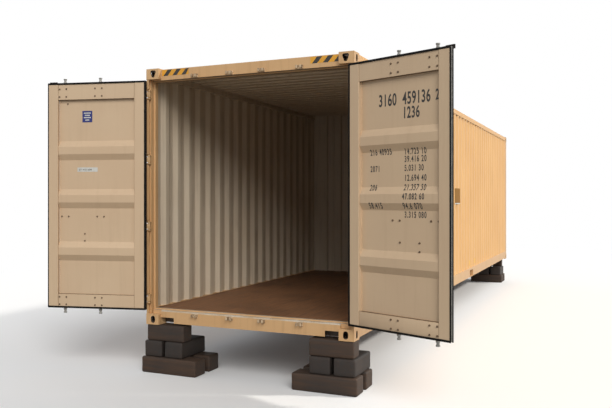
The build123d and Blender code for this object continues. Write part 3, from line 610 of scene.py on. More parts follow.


# The faces inside the castings' hollows are painted near black: partly the dirt that collects
# there, partly painted shade.
for node in ("top_corner_castings", "bottom_corner_castings"):
    low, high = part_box(node)
    refinish(softened(node, width=0.006, segments=3), hollow_dark,
             lambda centre, normal: in_hollow(centre, low, high))
for node in ("right_door_post", "left_door_post", "right_blind_post", "left_blind_post",
             "blind_end_sill", "blind_end_header", "right_bottom_side_rail",
             "left_bottom_side_rail"):
    softened(node)
# The header's underside takes the dark seam paint as painted shade.
refinish(softened("door_header"), seam_dirt, lambda centre, normal: normal.z < -0.5)
for node, sign in (("right_top_side_rail", 1), ("left_top_side_rail", -1)):
    rail = refinish(softened(node, "wall_paint"), wall_paint, lambda centre, normal: True)
    refinish(rail, inner_paint,
             lambda centre, normal: normal.y * sign < -0.5 or normal.z < -0.5)

# %% [markdown]
# ## The sill
# Loads and boots scrape the sill bare along its top. Below it two notches let a lifting hook
# in, and a small stiffener stands behind each of them. The notches' inner faces and the
# stiffeners are painted near black as painted shade.

# %% Finish the sill and the small plates
SILL_LIP = 0.02
NOTCH_DEPTH, NOTCH_TOP = 0.012, 0.10
# Two corners of a stiffener: behind the door plane, out from the middle, above the base.
STIFFENER = ((0.1585, 0.780, 0.0235), (0.1545, 0.8925, 0.150))
sill_front, _, sill_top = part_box("door_sill")[1]
sill = softened("door_sill")
refinish(sill, scraped_paint,
         lambda centre, normal: normal.z > 0.5 and centre.z > sill_top - SILL_LIP)
# The faces inside the notches, behind the sill's front, are painted near black as painted shade.
refinish(sill, hollow_dark, lambda centre, normal: (
    centre.x < sill_front - NOTCH_DEPTH and centre.z < base + NOTCH_TOP))
# The stiffeners are painted near black as painted shade, where the space behind the notches is in
# shadow.
stiffener = slab(*[(door_plane - behind, out, base + above) for behind, out, above in STIFFENER])
part_piece("sill-stiffeners", both_sides([stiffener]), hollow_dark, "container", "frame_paint")
for node in ("cam_keepers", "fork_pockets", "side_plate"):
    softened(node, "plate_paint" if node == "side_plate" else "frame_paint", 0.0015)

# %% [markdown]
# ## Corrugated sheet
# A press folds flat sheet into ribs: an outer flat, a slope in, an inner flat and a slope out,
# again and again. That is a rule, so Geometry Nodes roll it. A line of points is laid out by its
# index, four to a rib, its corners are rounded with Fillet Curve, and the line is pulled up into
# a sheet. A Solidify modifier then gives the steel its thickness and puts the inside paint on
# the back.

# %% Helpers for Geometry Nodes
def new_tree(name, floats, whole=()):
    """An empty tree with named number inputs and one material input, and the inputs it gives."""
    tree = bpy.data.node_groups.new(name, "GeometryNodeTree")
    sockets = [("Geometry", "Geometry"), *[(label, "Int") for label in whole],
               *[(label, "Float") for label in floats], ("Finish", "Material")]
    for label, kind in sockets:
        tree.interface.new_socket(label, in_out="INPUT", socket_type="NodeSocket" + kind)
    tree.interface.new_socket("Geometry", in_out="OUTPUT", socket_type="NodeSocketGeometry")
    return tree, put(tree, "NodeGroupInput").outputs


def close_tree(tree, shape, finish):
    """Ends a tree: instances made real, the finish set, and the result handed out."""
    real = made(tree, "GeometryNodeRealizeInstances", {"Geometry": shape})
    done = made(tree, "GeometryNodeSetMaterial", {"Geometry": real, "Material": finish})
    put(tree, "NodeGroupOutput", {0: done})
    return tree


def run_tree(piece, tree, values):
    """Runs a tree on a piece with its inputs set by socket identifier, and bakes the result."""
    modifier = piece.modifiers.new(tree.name, "NODES")
    modifier.node_group = tree
    for item in tree.interface.items_tree:
        if item.item_type == "SOCKET" and item.in_out == "INPUT" and item.name in values:
            modifier[item.identifier] = values[item.name]
    return bake(piece)


def up_by(tree, height):
    """An upright vector of a height."""
    return made(tree, "ShaderNodeCombineXYZ", {"Z": height})


def fold_and_pull(tree, line, radius, reach):
    """Rounds a line of corners and pulls it up into a sheet."""
    curve = made(tree, "GeometryNodeMeshToCurve", {"Mesh": line})
    rounded = made(tree, "GeometryNodeFilletCurve", {"Curve": curve, "Count": 4,
                                                     "Radius": radius, "Limit Radius": True},
                   mode="POLY")
    wire = made(tree, "GeometryNodeCurveToMesh", {"Curve": rounded})
    pulled = made(tree, "GeometryNodeExtrudeMesh",
                  {"Mesh": wire, "Offset": up_by(tree, reach), "Offset Scale": 1.0}, mode="EDGES")
    return made(tree, "GeometryNodeFlipFaces", {"Mesh": pulled})


print("tree helpers ready")

# %% Build the corrugated sheet tree
def corrugation_tree():
    """Lays four corners to each rib along X, deep in Y, and pulls the sheet up along Z."""
    tree, given = new_tree("corrugated_sheet", (
        "Length", "Outer Flat", "Inner Flat", "Slope", "Depth", "Fold Radius", "Reach"),
        whole=["Ribs"])

    def add(first, second):
        return calc(tree, "ADD", first, second)

    def take(first, second):
        return calc(tree, "SUBTRACT", first, second)

    pitch = add(add(given["Outer Flat"], given["Inner Flat"]), times(tree, given["Slope"], 2.0))
    run = times(tree, given["Ribs"], pitch)
    margin = times(tree, take(add(given["Length"], given["Outer Flat"]), run), 0.5)
    corners = add(times(tree, given["Ribs"], 4.0), 2.0)
    line = made(tree, "GeometryNodeMeshLine", {"Count": corners})
    index = made(tree, "GeometryNodeInputIndex")
    step = take(index, 1.0)
    rib = calc(tree, "FLOOR", calc(tree, "DIVIDE", step, 4.0))
    corner = calc(tree, "FLOORED_MODULO", step, 4.0)
    past = [calc(tree, "GREATER_THAN", corner, limit) for limit in (0.5, 1.5, 2.5)]
    along = add(margin, times(tree, rib, pitch))
    along = add(along, times(tree, add(past[0], past[2]), given["Slope"]))
    along = add(along, times(tree, past[1], given["Inner Flat"]))
    first = calc(tree, "LESS_THAN", index, 0.5)
    last = calc(tree, "GREATER_THAN", index, take(corners, 1.5))
    for at_end, place in ((first, 0.0), (last, given["Length"])):
        along = made(tree, "GeometryNodeSwitch",
                     {"Switch": at_end, "False": along, "True": place}, input_type="FLOAT")
    deep = times(tree, take(past[0], past[2]), given["Depth"])
    place = made(tree, "ShaderNodeCombineXYZ", {"X": along, "Y": deep})
    folded = made(tree, "GeometryNodeSetPosition", {"Geometry": line, "Position": place})
    sheet = fold_and_pull(tree, folded, given["Fold Radius"], given["Reach"])
    return close_tree(tree, sheet, given["Finish"])


corrugated = corrugation_tree()
print("tree", corrugated.name, "with", len(corrugated.nodes), "nodes")

# %% [markdown]
# ## The sheets of the container
# Five sheets use the same tree: the two side walls, the roof, the far end wall and the bulkhead
# inside. Each is rolled lying along X, then a matrix stands it in its place in its own mesh.

# %% Roll the sheets
WALL = {"Outer Flat": 0.072, "Inner Flat": 0.070, "Slope": 0.068, "Depth": 0.036,
        "Fold Radius": 0.014}
ROOF = {"Outer Flat": 0.091, "Inner Flat": 0.091, "Slope": 0.0135, "Depth": 0.020,
        "Fold Radius": 0.006}
FAR_END = {"Outer Flat": 0.110, "Inner Flat": 0.104, "Slope": 0.018, "Depth": 0.045,
           "Fold Radius": 0.010}
SHEET = 0.002
FLANGE = 0.003


def thicken(piece, outside, inside):
    """Gives a rolled skin its steel thickness behind its face, and its finish on the back."""
    piece.data.materials.clear()
    for finish in (outside, inside):
        piece.data.materials.append(finish)
    thick = piece.modifiers.new("steel", "SOLIDIFY")
    thick.thickness, thick.offset, thick.material_offset = SHEET, -1.0, 1
    return bake(piece)


def rib_layout(profile, length):
    """How many ribs a sheet of a length has, their pitch, and the flat left before the first."""
    pitch = profile["Outer Flat"] + profile["Inner Flat"] + 2 * profile["Slope"]
    ribs = int((length - profile["Outer Flat"]) // pitch)
    return ribs, pitch, (length + profile["Outer Flat"] - ribs * pitch) / 2


def rolled_sheet(node, profile, length, reach, place, outside, inside):
    """A corrugated sheet of a length and reach, set in place, with its two finishes."""
    name = node.replace("_", "-") + "-rolled"
    piece = show(name, bpy.data.meshes.new(name))
    ribs = rib_layout(profile, length)[0]
    run_tree(piece, corrugated,
             {**profile, "Ribs": ribs, "Length": length, "Reach": reach, "Finish": outside})
    thicken(piece, outside, inside)
    set_in_place(piece.data, place)
    even_shading(piece)
    return settle(piece, nodes[node]["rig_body"], "wall_paint", node)


for node, sign in (("right_side_wall", 1), ("left_side_wall", -1)):
    low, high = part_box(node)
    face = max(abs(low.y), abs(high.y)) * sign
    rolled_sheet(node, WALL, high.x - low.x, high.z - low.z,
                 laid_along(X, -sign * Y, Z, (low.x, face, low.z)), wall_paint, inner_paint)
roof_low, roof_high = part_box("roof_sheet")
rolled_sheet("roof_sheet", ROOF, roof_high.x - roof_low.x, roof_high.y - roof_low.y,
             laid_along(X, Z, Y, roof_low), inner_paint, wall_paint)
flange = slab((roof_low.x, roof_high.y - FLANGE, roof_low.z), roof_high)
part_piece("roof-edge-flanges", both_sides([flange]), wall_paint, "container", "wall_paint")
for node, sign, outside in (("end_wall", -1, wall_paint), ("bulkhead", 1, inner_paint)):
    low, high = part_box(node)
    face = high.x if sign > 0 else low.x
    rolled_sheet(node, FAR_END, high.y - low.y, high.z - low.z,
                 laid_along(Y, -sign * X, Z, (face, low.y, low.z)), outside, inner_paint)

# %% [markdown]
# ## The door leaves
# Every piece on a leaf is drawn on the right leaf as if it were shut, where it is easy to measure,
# and then swung open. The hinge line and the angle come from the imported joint, so the pieces land
# on the leaf exactly. The left leaf is the right one mirrored, with its own angle.

# %% Find how the leaves swing
LEAF_FREE, LEAF_HINGE = 0.016, 1.163
STILE, TOP_RAIL, LOWER_RAIL = 0.115, 0.175, 0.140
LEAF_BACK, LEAF_DEPTH = 0.060, 0.050
HANDS = ("right", "left")
leaf_outer = door_plane - LEAF_BACK
leaf_inner = leaf_outer - LEAF_DEPTH
leaf_low, leaf_high = (corner.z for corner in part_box("right_door_stiles"))


def swung_open(hand):
    """The matrix that takes a point of the shut right leaf to its place on an open leaf."""
    joint = next(joint for joint in frame["joints"] if joint["name"] == hand + "_door_hinge")
    pin = Vector((*joint["pos_m"][:2], 0))
    angle = math.radians(-joint["range_deg"][0]) * joint["axis"][2]
    swing = Matrix.Translation(pin) @ Matrix.Rotation(angle, 4, "Z") @ Matrix.Translation(-pin)
    return swing if hand == "right" else swing @ MIRROR


OPEN = {hand: swung_open(hand) for hand in HANDS}
print("leaf from", round(leaf_low, 3), "to", round(leaf_high, 3))

# %% Round the leaf frames and paint their outer faces
RAIL_SET_BACK = 0.006
LEDGES = (leaf_low + LOWER_RAIL, leaf_high - TOP_RAIL)


def coat_outside(piece, hand):
    """Gives the faces that look out of the container when the leaf is shut the outside paint."""
    shut = OPEN[hand].to_3x3().inverted()
    return refinish(piece, wall_paint, lambda centre, normal: (shut @ normal).x > 0.5)


for hand in HANDS:
    coat_outside(softened(hand + "_door_stiles", "door_paint", 0.005, 3), hand)
    rails = coat_outside(softened(hand + "_door_rails", "door_paint", 0.003), hand)
    for corner in rails.data.vertices:
        shut = OPEN[hand].inverted() @ corner.co
        if shut.x < leaf_inner + RAIL_SET_BACK:
            shut.x += RAIL_SET_BACK
            corner.co = OPEN[hand] @ shut
    # The lower rail's top is darkened with dirt that collects there, and the top rail's underside
    # is painted dark as painted shade.
    refinish(rails, ledge_dirt, lambda centre, normal: abs(normal.z) > 0.5 and min(
        abs(centre.z - ledge) for ledge in LEDGES) < 0.004)

# %% [markdown]
# ## The door panels
# Each leaf is skinned with one steel sheet that has three wide ribs pressed inwards. The corners
# of that fold line are only a few, so they are given as points, and the same rounding and pulling
# as for the walls makes the sheet.

# %% Press the door panels
RIB_OFFSETS = (-0.643, -0.039, 0.517)
RIB_CREST, RIB_SLOPE, RIB_DEPTH = 0.084, 0.068, 0.036
PANEL_FOLD = 0.006


def panel_corners():
    """The fold line of a panel as (height above the leaf's foot, depth) points."""
    line = [(LOWER_RAIL, 0.0)]
    for offset in RIB_OFFSETS:
        middle = (leaf_high - leaf_low) / 2 + offset
        half = RIB_CREST / 2
        line += [(middle - half - RIB_SLOPE, 0.0), (middle - half, RIB_DEPTH),
                 (middle + half, RIB_DEPTH), (middle + half + RIB_SLOPE, 0.0)]
    return line + [(leaf_high - leaf_low - TOP_RAIL, 0.0)]


def panel_depth(height):
    """How far the panel stands inwards at a height above the leaf's foot."""
    line = panel_corners()
    for (z0, d0), (z1, d1) in zip(line, line[1:]):
        if z0 <= height <= z1:
            return d0 + (d1 - d0) * (height - z0) / (z1 - z0)
    return 0.0


def pressed_tree():
    """Rounds a given line of corners and pulls it into a sheet."""
    tree, given = new_tree("pressed_panel", ("Fold Radius", "Reach"))
    sheet = fold_and_pull(tree, given["Geometry"], given["Fold Radius"], given["Reach"])
    return close_tree(tree, sheet, given["Finish"])


pressed = pressed_tree()
upright = laid_along(Z, -X, Y, (leaf_outer, LEAF_FREE + STILE, leaf_low))
fold_line = [(along, deep, 0) for along, deep in panel_corners()]
steps = [(step, step + 1) for step in range(len(fold_line) - 1)]
for hand in HANDS:
    panel = show(hand + "-door-panel-pressed", mesh_of(hand + "-panel", fold_line, edges=steps))
    run_tree(panel, pressed, {"Fold Radius": PANEL_FOLD, "Finish": door_paint,
                              "Reach": LEAF_HINGE - LEAF_FREE - 2 * STILE})
    thicken(panel, wall_paint, door_paint)
    set_in_place(panel.data, OPEN[hand] @ upright)
    even_shading(panel)
    settle(panel, hand + "_door", "door_paint", hand + "_door_panel")

# %% [markdown]
# ## Door seals
# A black rubber seal runs round each leaf. Its section has a lip at the inner edge, a lip at the
# outer edge and a groove between them, where a bright metal strip holds it down. The strip's pale
# grey also stands in for the highlight line along the seal's edge, as a painted highlight. One
# section is carried round the four corners of the leaf, so the corners meet in clean mitres.

# %% Draw the seals
SEAL_OUT = 0.020
# Sections as (share of the seal's width, depth) points.
SEAL_SECTION = [(0.0, 0.0), (0.5, 0.0), (0.9, 0.002), (1.0, 0.007), (0.95, 0.012), (0.62, 0.015),
                (0.55, 0.018), (0.55, 0.034), (0.62, 0.037), (0.95, 0.040), (1.0, 0.045),
                (0.9, 0.050), (0.5, 0.052), (0.0, 0.052)]
STRIP_SECTION = [(0.5, 0.0225), (0.68, 0.0225), (0.72, 0.0235), (0.72, 0.0285), (0.68, 0.0295),
                 (0.5, 0.0295)]
OVERLAP = 0.010
BLOCK_THICK, BLOCK_WIDE, BLOCK_HIGH = 0.016, 0.082, 0.038
BRIDGE_FROM, BRIDGE_HIGH = 0.050, 0.020
seal_from = leaf_inner - 0.004
lip = door_plane - 0.054


def ring_part(section):
    """A section carried round the leaf."""
    corners, faces = [], []
    for out, depth in section:
        wide = out * SEAL_OUT
        corners += [(seal_from + depth, y, z) for y, z in (
            (LEAF_FREE - wide / 2, leaf_low - wide), (LEAF_HINGE + wide, leaf_low - wide),
            (LEAF_HINGE + wide, leaf_high + wide), (LEAF_FREE - wide / 2, leaf_high + wide))]
    for step in range(len(section)):
        here, after = 4 * step, 4 * ((step + 1) % len(section))
        faces += [(here + turn, here + (turn + 1) % 4, after + (turn + 1) % 4, after + turn)
                  for turn in range(4)]
    return corners, faces


corner_block = slab((lip, LEAF_FREE - OVERLAP, leaf_high),
                    (lip + BLOCK_THICK, LEAF_FREE + BLOCK_WIDE, leaf_high + BLOCK_HIGH))
bridge = slab((seal_from + BRIDGE_FROM, LEAF_FREE - OVERLAP, leaf_high),
              (lip + 0.001, LEAF_FREE, leaf_high + BRIDGE_HIGH))
for hand in HANDS:
    part_piece(hand + "-door-seal", [ring_part(SEAL_SECTION), corner_block, bridge], seal_rubber,
               hand + "_door", "seal_rubber", hand + "_door_gasket", place=OPEN[hand],
               edge=0.0015)
    # The strip is a real retaining strip, and its pale grey also stands in for the seal edge's
    # highlight line: a painted highlight.
    part_piece(hand + "-seal-strip", [ring_part(STRIP_SECTION)], galvanised, hand + "_door",
               "galvanised_steel", place=OPEN[hand], edge=0)

# %% [markdown]
# ## Bolt heads
# The lock gear outside is bolted through the leaf, so rows of heads show on its inner face, and
# the gear itself has more of them. One Geometry Nodes tree puts a washer and a hexagon head on
# every point that it is given, each turned by a different amount.

# %% Build the bolt tree
WASHER_DEPTH, HEAD_DEPTH, HEAD_LIFT = 0.003, 0.009, 0.0055


def draw(tree, seed):
    """A random number from 0 to 1 for each point or board."""
    return put(tree, "FunctionNodeRandomValue", {2: 0.0, 3: 1.0, "Seed": seed},
               data_type="FLOAT").outputs[1]


def bolt_tree():
    """A washer and a six-sided head on every point, standing along Z."""
    tree, given = new_tree("bolt_heads", ("Head Radius", "Washer Radius"), whole=["Seed"])
    washer, head = [
        made(tree, "GeometryNodeMeshCylinder", {"Vertices": sides, "Radius": radius,
                                                "Depth": depth})
        for sides, radius, depth in ((14, given["Washer Radius"], WASHER_DEPTH),
                                     (6, given["Head Radius"], HEAD_DEPTH))]
    head = made(tree, "GeometryNodeTransform",
                {"Geometry": head, "Translation": up_by(tree, HEAD_LIFT)})
    both = put(tree, "GeometryNodeJoinGeometry")
    for shape in (washer, head):
        tree.links.new(shape, both.inputs[0])
    placed = made(tree, "GeometryNodeInstanceOnPoints",
                  {"Points": given["Geometry"], "Instance": both.outputs[0],
                   "Rotation": up_by(tree, draw(tree, given["Seed"]))})
    return close_tree(tree, placed, given["Finish"])


bolt_heads = bolt_tree()


def bolts(name, points, finish, body, slot, place, head=0.0075, washer=0.0105, seed=1):
    """Bolt heads on points, carried to their place by a matrix."""
    piece = show(name, mesh_of(name, points))
    run_tree(piece, bolt_heads,
             {"Head Radius": head, "Washer Radius": washer, "Seed": seed, "Finish": finish})
    set_in_place(piece.data, place)
    return settle(piece, body, slot)


print("tree", bolt_heads.name, "ready")

# %% [markdown]
# ## Bolts on the inner faces
# Places on a leaf are measured as they are seen: how far from the free edge, how high above the
# base, and whether they sit on the flat frame or down on the panel. The inner face has its own
# small frame: along the face towards the free edge, up, and out of the steel.

# %% Bolt the inner faces
ROD_LINES = (0.190, 0.620)
FRAME_ROWS = (0.207, 0.292, 2.600, 2.688)
LONE_BOLTS = {"right": [(0.587, 1.015), (0.367, 1.018), (0.367, 0.938)],
              "left": [(0.440, 1.020), (0.440, 0.940), (0.233, 2.520)]}
INNER_FACE = laid_along(-Y, Z, -X, (leaf_inner, 0, 0))
OUTER_FACE = laid_along(Y, Z, X, (leaf_outer, 0, 0))
PANEL_DOWN = SHEET - LEAF_DEPTH


def on_inner(across, above):
    """A point on the inner face in that face's own frame, on the frame or down on the panel."""
    height = above + base - leaf_low
    on_panel = LOWER_RAIL < height < leaf_high - leaf_low - TOP_RAIL
    return (-across, above + base,
            PANEL_DOWN + panel_depth(height) if on_panel else -RAIL_SET_BACK)


rows = [(line + aside, row) for line in ROD_LINES for aside in (-0.042, 0.040)
        for row in FRAME_ROWS]
rows += [(line + aside, 1.220) for line in ROD_LINES for aside in (-0.030, 0.052)]
for hand in HANDS:
    bolts(hand + "-inner-bolts", [on_inner(*spot) for spot in rows + LONE_BOLTS[hand]],
          bolt_dark, hand + "_door", "door_paint", OPEN[hand] @ INNER_FACE)

# %% [markdown]
# ## Hinges
# Four pairs of lugs stand in the open lip of each post, and a forged blade on the leaf turns
# between them on a pin. The outlines are cut from plate, so they are prisms; the barrels are
# turned round. The lug's outline is the tightest line round its foot and its barrel. Behind each
# lug a small cheek closes the slot of the post, down to what the blade needs to turn.

# %% Make the hinges
PIN_SPOT = (door_plane - 0.024, side - 0.022)
BOX_HEIGHT = 2.896
HINGE_LEVELS = [base + level
                for level in (0.285, 1.112, BOX_HEIGHT - 1.028, BOX_HEIGHT - 0.289)]
BARREL = 0.017
LUG_HALF, LUG_PLATE, BLADE_HALF = 0.050, 0.016, 0.031
CHEEK_FEET, CHEEK_HIGH = (-0.062, 0.0365), 0.0255
PIN_PROFILE = [(0.0085, -0.055), (0.010, -0.053), (0.010, 0.050), (0.014, 0.0505),
               (0.014, 0.053), (0.010, 0.055)]


def tight_line(points):
    """The outline pulled tight round points, counter-clockwise."""
    points = sorted(set(points))

    def half(ordered):
        line = []
        for point in ordered:
            while len(line) > 1:
                (x0, y0), (x1, y1) = line[-2:]
                if (x1 - x0) * (point[1] - y0) - (y1 - y0) * (point[0] - x0) > 0:
                    break
                line.pop()
            line.append(point)
        return line[:-1]

    return half(points) + half(points[::-1])


def inset(depth, across):
    """Turns depth behind the door plane and distance in from the side into X and Y."""
    return (door_plane - depth, side - across)


lug_line = tight_line([inset(0.060, 0.009), inset(0.060, 0.030)] + circle(PIN_SPOT, BARREL))
blade_line = [inset(*spot) for spot in (
    (0.024, 0.022), (0.041, 0.022), (0.060, 0.056), (0.060, 0.186), (0.050, 0.186),
    (0.050, 0.046), (0.033, 0.036))]
lugs, pins, blades = [], [], []
for level in HINGE_LEVELS:
    lugs += [prism(lug_line, foot, foot + LUG_PLATE)
             for foot in (level - LUG_HALF, level + LUG_HALF - LUG_PLATE)]
    lugs += [slab((*inset(0.060, 0.0075), level + foot),
                  (*inset(0.003, 0.003), level + foot + CHEEK_HIGH)) for foot in CHEEK_FEET]
    pins.append(turned(PIN_PROFILE, PIN_SPOT, level))
    blades += [prism(blade_line, level - BLADE_HALF, level + BLADE_HALF),
               turned([(BARREL, -BLADE_HALF), (BARREL, BLADE_HALF)], PIN_SPOT, level)]
part_piece("hinge-lugs-cut", both_sides(lugs), hinge_paint, "container", "frame_paint",
           "hinge_lugs")
part_piece("hinge-pins-turned", both_sides(pins), hinge_paint, "container", "frame_paint",
           "hinge_pins", edge=0)
for hand in HANDS:
    part_piece(hand + "-hinge-blades-forged", blades, hinge_paint, hand + "_door", "frame_paint",
               hand + "_hinge_blades", place=OPEN[hand], edge=0.002)

# %% [markdown]
# ## Lock rods
# Two tubes stand on each leaf. A cam at each end has a wide flange, a narrow waist and a foot,
# and turns into a keeper on the frame; a flat handle swings the rod. These are turned and cut
# parts again, joined into one galvanised piece for each rod.

# %% Make the lock rods
ROD_RADIUS = 0.0165
CAM_LEVELS = (base + 0.100, base + 2.764)
BRACKET_LEVELS = [base + level for level in (0.263, 1.212, BOX_HEIGHT - 0.269)]
# (Radius, height) profiles, each from the level at which its part is set.
CAM_FLANGES = ([(0.0175, 0.0), (0.020, 0.0015), (0.020, 0.007), (0.015, 0.0075)],
               [(0.015, 0.0445), (0.020, 0.045), (0.020, 0.0505), (0.0175, 0.052)])
COLLAR = [(0.0185, 0.0), (0.0205, 0.001), (0.0205, 0.009), (0.0185, 0.010)]
COLLAR_STEPS = (-0.037, 0.027)
HUB = [(0.021, -0.022), (0.025, -0.018), (0.025, 0.018), (0.021, 0.022)]
# A cam's tongue in three blocks: foot, head, half depth and half width.
TONGUE = ((0.006, 0.017, 0.010, 0.017), (0.017, 0.036, 0.0085, 0.012),
          (0.036, 0.046, 0.010, 0.017))
HANDLE_REACH, HANDLE_HALF, HANDLE_PLATE = 0.385, 0.017, 0.006
rod_x = leaf_outer + 0.026
handle_level = base + 0.985


def centred(x0, x1, y, half, z0, z1):
    """A box between two depths and two heights, centred on a line across the leaf."""
    return slab((x0, y - half, z0), (x1, y + half, z1))


def cam_parts(y, low):
    """The spool of one cam: two flanges, and a tongue that is drawn in at its waist."""
    return [turned(flange, (rod_x, y), low) for flange in CAM_FLANGES] + [
        centred(rod_x - deep, rod_x + deep, y, wide, low + foot, low + head)
        for foot, head, deep, wide in TONGUE]


def handle_part(y):
    """A flat bar from the hub towards the hinges, rounded at its far end."""
    half = HANDLE_HALF
    end = [(y + HANDLE_REACH - half + half * math.cos(turn * math.pi / 12),
            half * math.sin(turn * math.pi / 12)) for turn in range(-6, 7)]
    line = [(y, -half * 0.8), *end, (y, half * 0.8)]
    outline = [(across, up + handle_level) for across, up in line]
    flat = prism(outline, rod_x - HANDLE_PLATE, rod_x + HANDLE_PLATE)
    return laid(flat, laid_along(Y, Z, X, (0, 0, 0)))


def rod_parts(y):
    """One lock rod with its cams, collars, hub and handle."""
    spot = (rod_x, y)
    parts = [turned([(ROD_RADIUS, CAM_LEVELS[0] + 0.050), (ROD_RADIUS, CAM_LEVELS[1] + 0.002)],
                    spot)]
    for low in CAM_LEVELS:
        parts += cam_parts(y, low)
    parts += [turned(COLLAR, spot, level + away) for level in BRACKET_LEVELS
              for away in COLLAR_STEPS]
    return parts + [turned(HUB, spot, handle_level), handle_part(y)]


for hand in HANDS:
    for which, line in zip(("inner", "outer"), ROD_LINES):
        part_piece(f"{hand}-{which}-lock-rod-turned", rod_parts(line), galvanised,
                   f"{hand}_{which}_rod", "galvanised_steel", f"{hand}_{which}_lock_rod",
                   place=OPEN[hand])

# %% [markdown]
# ## Rod brackets and handle catches
# The rods turn in saddles with a round back, each bolted through a foot plate. A catch with a lip
# carries each handle when it is folded flat.

# %% Make the brackets and catches
SADDLE_HALF, FOOT_HALF, FOOT_PLATE = 0.025, 0.048, 0.006
CATCH_ALONG, CATCH_HALF = 0.250, 0.025
catch_foot = handle_level - HANDLE_HALF - 0.008
saddles, catches, outer_bolts = [], [], []
for line in ROD_LINES:
    for level in BRACKET_LEVELS:
        low, high = level - SADDLE_HALF, level + SADDLE_HALF
        saddles.append(centred(leaf_outer, leaf_outer + FOOT_PLATE, line, FOOT_HALF, low, high))
        foot = [(leaf_outer + 0.001, line + aside) for aside in (-SADDLE_HALF, SADDLE_HALF)]
        round_back = circle((rod_x, line), SADDLE_HALF)
        saddles.append(prism(tight_line(round_back + foot), low, high))
        outer_bolts += [(line + aside, level, 0.007) for aside in (-0.037, 0.037)]
    y = line + CATCH_ALONG
    catches += [centred(x0, x1, y, CATCH_HALF, catch_foot + z0, catch_foot + z1)
                for x0, x1, z0, z1 in ((leaf_outer, rod_x - 0.007, 0.0, 0.050),
                                       (rod_x - 0.008, rod_x + 0.012, 0.0, 0.007),
                                       (leaf_outer, leaf_outer + 0.004, 0.049, 0.074))]
    outer_bolts += [(y + aside, catch_foot + 0.062, 0.0055) for aside in (-0.013, 0.013)]
for hand in HANDS:
    for name, parts, node in (("-rod-saddles", saddles, "_rod_brackets"),
                              ("-handle-catches-bent", catches, "_handle_catches")):
        part_piece(hand + name, parts, galvanised, hand + "_door", "galvanised_steel",
                   hand + node, place=OPEN[hand], edge=0.0015)
    bolts(hand + "-outer-bolts", outer_bolts, galvanised, hand + "_door", "galvanised_steel",
          OPEN[hand] @ OUTER_FACE, head=0.006, washer=0.0085, seed=2)

# %% [markdown]
# ## The floor deck
# The deck is thick plywood, laid in long boards side by side and screwed to the cross members.
# Both are regular, so two small trees lay them out. Each board stores a random number on itself,
# and the wood material reads it, so that neighbouring boards differ a little in tone.

# %% Lay the deck
BOARDS_ALONG, BOARDS_ACROSS = 5, 2
BOARD_JOINT, BOARD_ROUND = 0.0025, 0.0015


def deck_tree():
    """A grid of boards centred on the origin, each with its own tone."""
    tree, given = new_tree("deck_boards", ("Board Length", "Board Width", "Thickness", "Joint"),
                           whole=("Along", "Across", "Seed"))
    spans = [times(tree, calc(tree, "SUBTRACT", given[number], 1.0), given[size])
             for number, size in (("Along", "Board Length"), ("Across", "Board Width"))]
    grid = made(tree, "GeometryNodeMeshGrid",
                {"Size X": spans[0], "Size Y": spans[1], "Vertices X": given["Along"],
                 "Vertices Y": given["Across"]})
    long, wide = [calc(tree, "SUBTRACT", given[size], given["Joint"])
                  for size in ("Board Length", "Board Width")]
    size = made(tree, "ShaderNodeCombineXYZ", {"X": long, "Y": wide, "Z": given["Thickness"]})
    board = made(tree, "GeometryNodeMeshCube", {"Size": size})
    placed = made(tree, "GeometryNodeInstanceOnPoints", {"Points": grid, "Instance": board})
    toned = made(tree, "GeometryNodeStoreNamedAttribute",
                 {"Geometry": placed, "Name": "board_tone", "Value": draw(tree, given["Seed"])},
                 data_type="FLOAT", domain="INSTANCE")
    return close_tree(tree, toned, given["Finish"])


deck_low, deck_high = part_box("floor_deck")
deck_size = deck_high - deck_low
deck = show("floor-deck-boards", bpy.data.meshes.new("floor-deck-boards"))
run_tree(deck, deck_tree(), {
    "Along": BOARDS_ALONG, "Across": BOARDS_ACROSS, "Joint": BOARD_JOINT, "Seed": 4,
    "Board Length": deck_size.x / BOARDS_ALONG, "Board Width": deck_size.y / BOARDS_ACROSS,
    "Thickness": deck_size.z, "Finish": plywood})
round_edges(deck, BOARD_ROUND)
set_in_place(deck.data, Matrix.Translation((deck_low + deck_high) / 2))
settle(deck, "container", "plywood", "floor_deck")

# %% Screw the deck down
SCREW_ROWS, SCREWS_ACROSS = 27, 13
FIRST_ROW, ROW_PITCH = 0.36, 0.425
FIRST_SCREW, SCREW_PITCH = -1.09, 0.1817
WANDER, SCREW_SUNK = 0.012, 0.0009
screw_spots = []
for row in range(SCREW_ROWS):
    for number in range(SCREWS_ACROSS):
        wander = noise.noise(Vector((row * 1.7, number * 2.3, 0))) * WANDER
        screw_spots.append((deck_low.x + FIRST_ROW + row * ROW_PITCH + wander,
                            FIRST_SCREW + number * SCREW_PITCH, deck_high.z - SCREW_SUNK))
bolts("deck-screws", screw_spots, bolt_dark, "container", "galvanised_steel", Matrix(),
      head=0.003, washer=0.0065)

# %% [markdown]
# ## Packing timbers
# The old sleepers under the corners have lost their sharp edges. Each is built as a box of small
# cells; a cell near an edge is pulled back onto a rounded edge, and noise wears the faces a
# little, but the faces that carry load stay flat, so the stack still sits tight.

# %% Wear the timbers
CELL = 0.045
WEAR, SAW_ROUGH = 0.018, 0.005


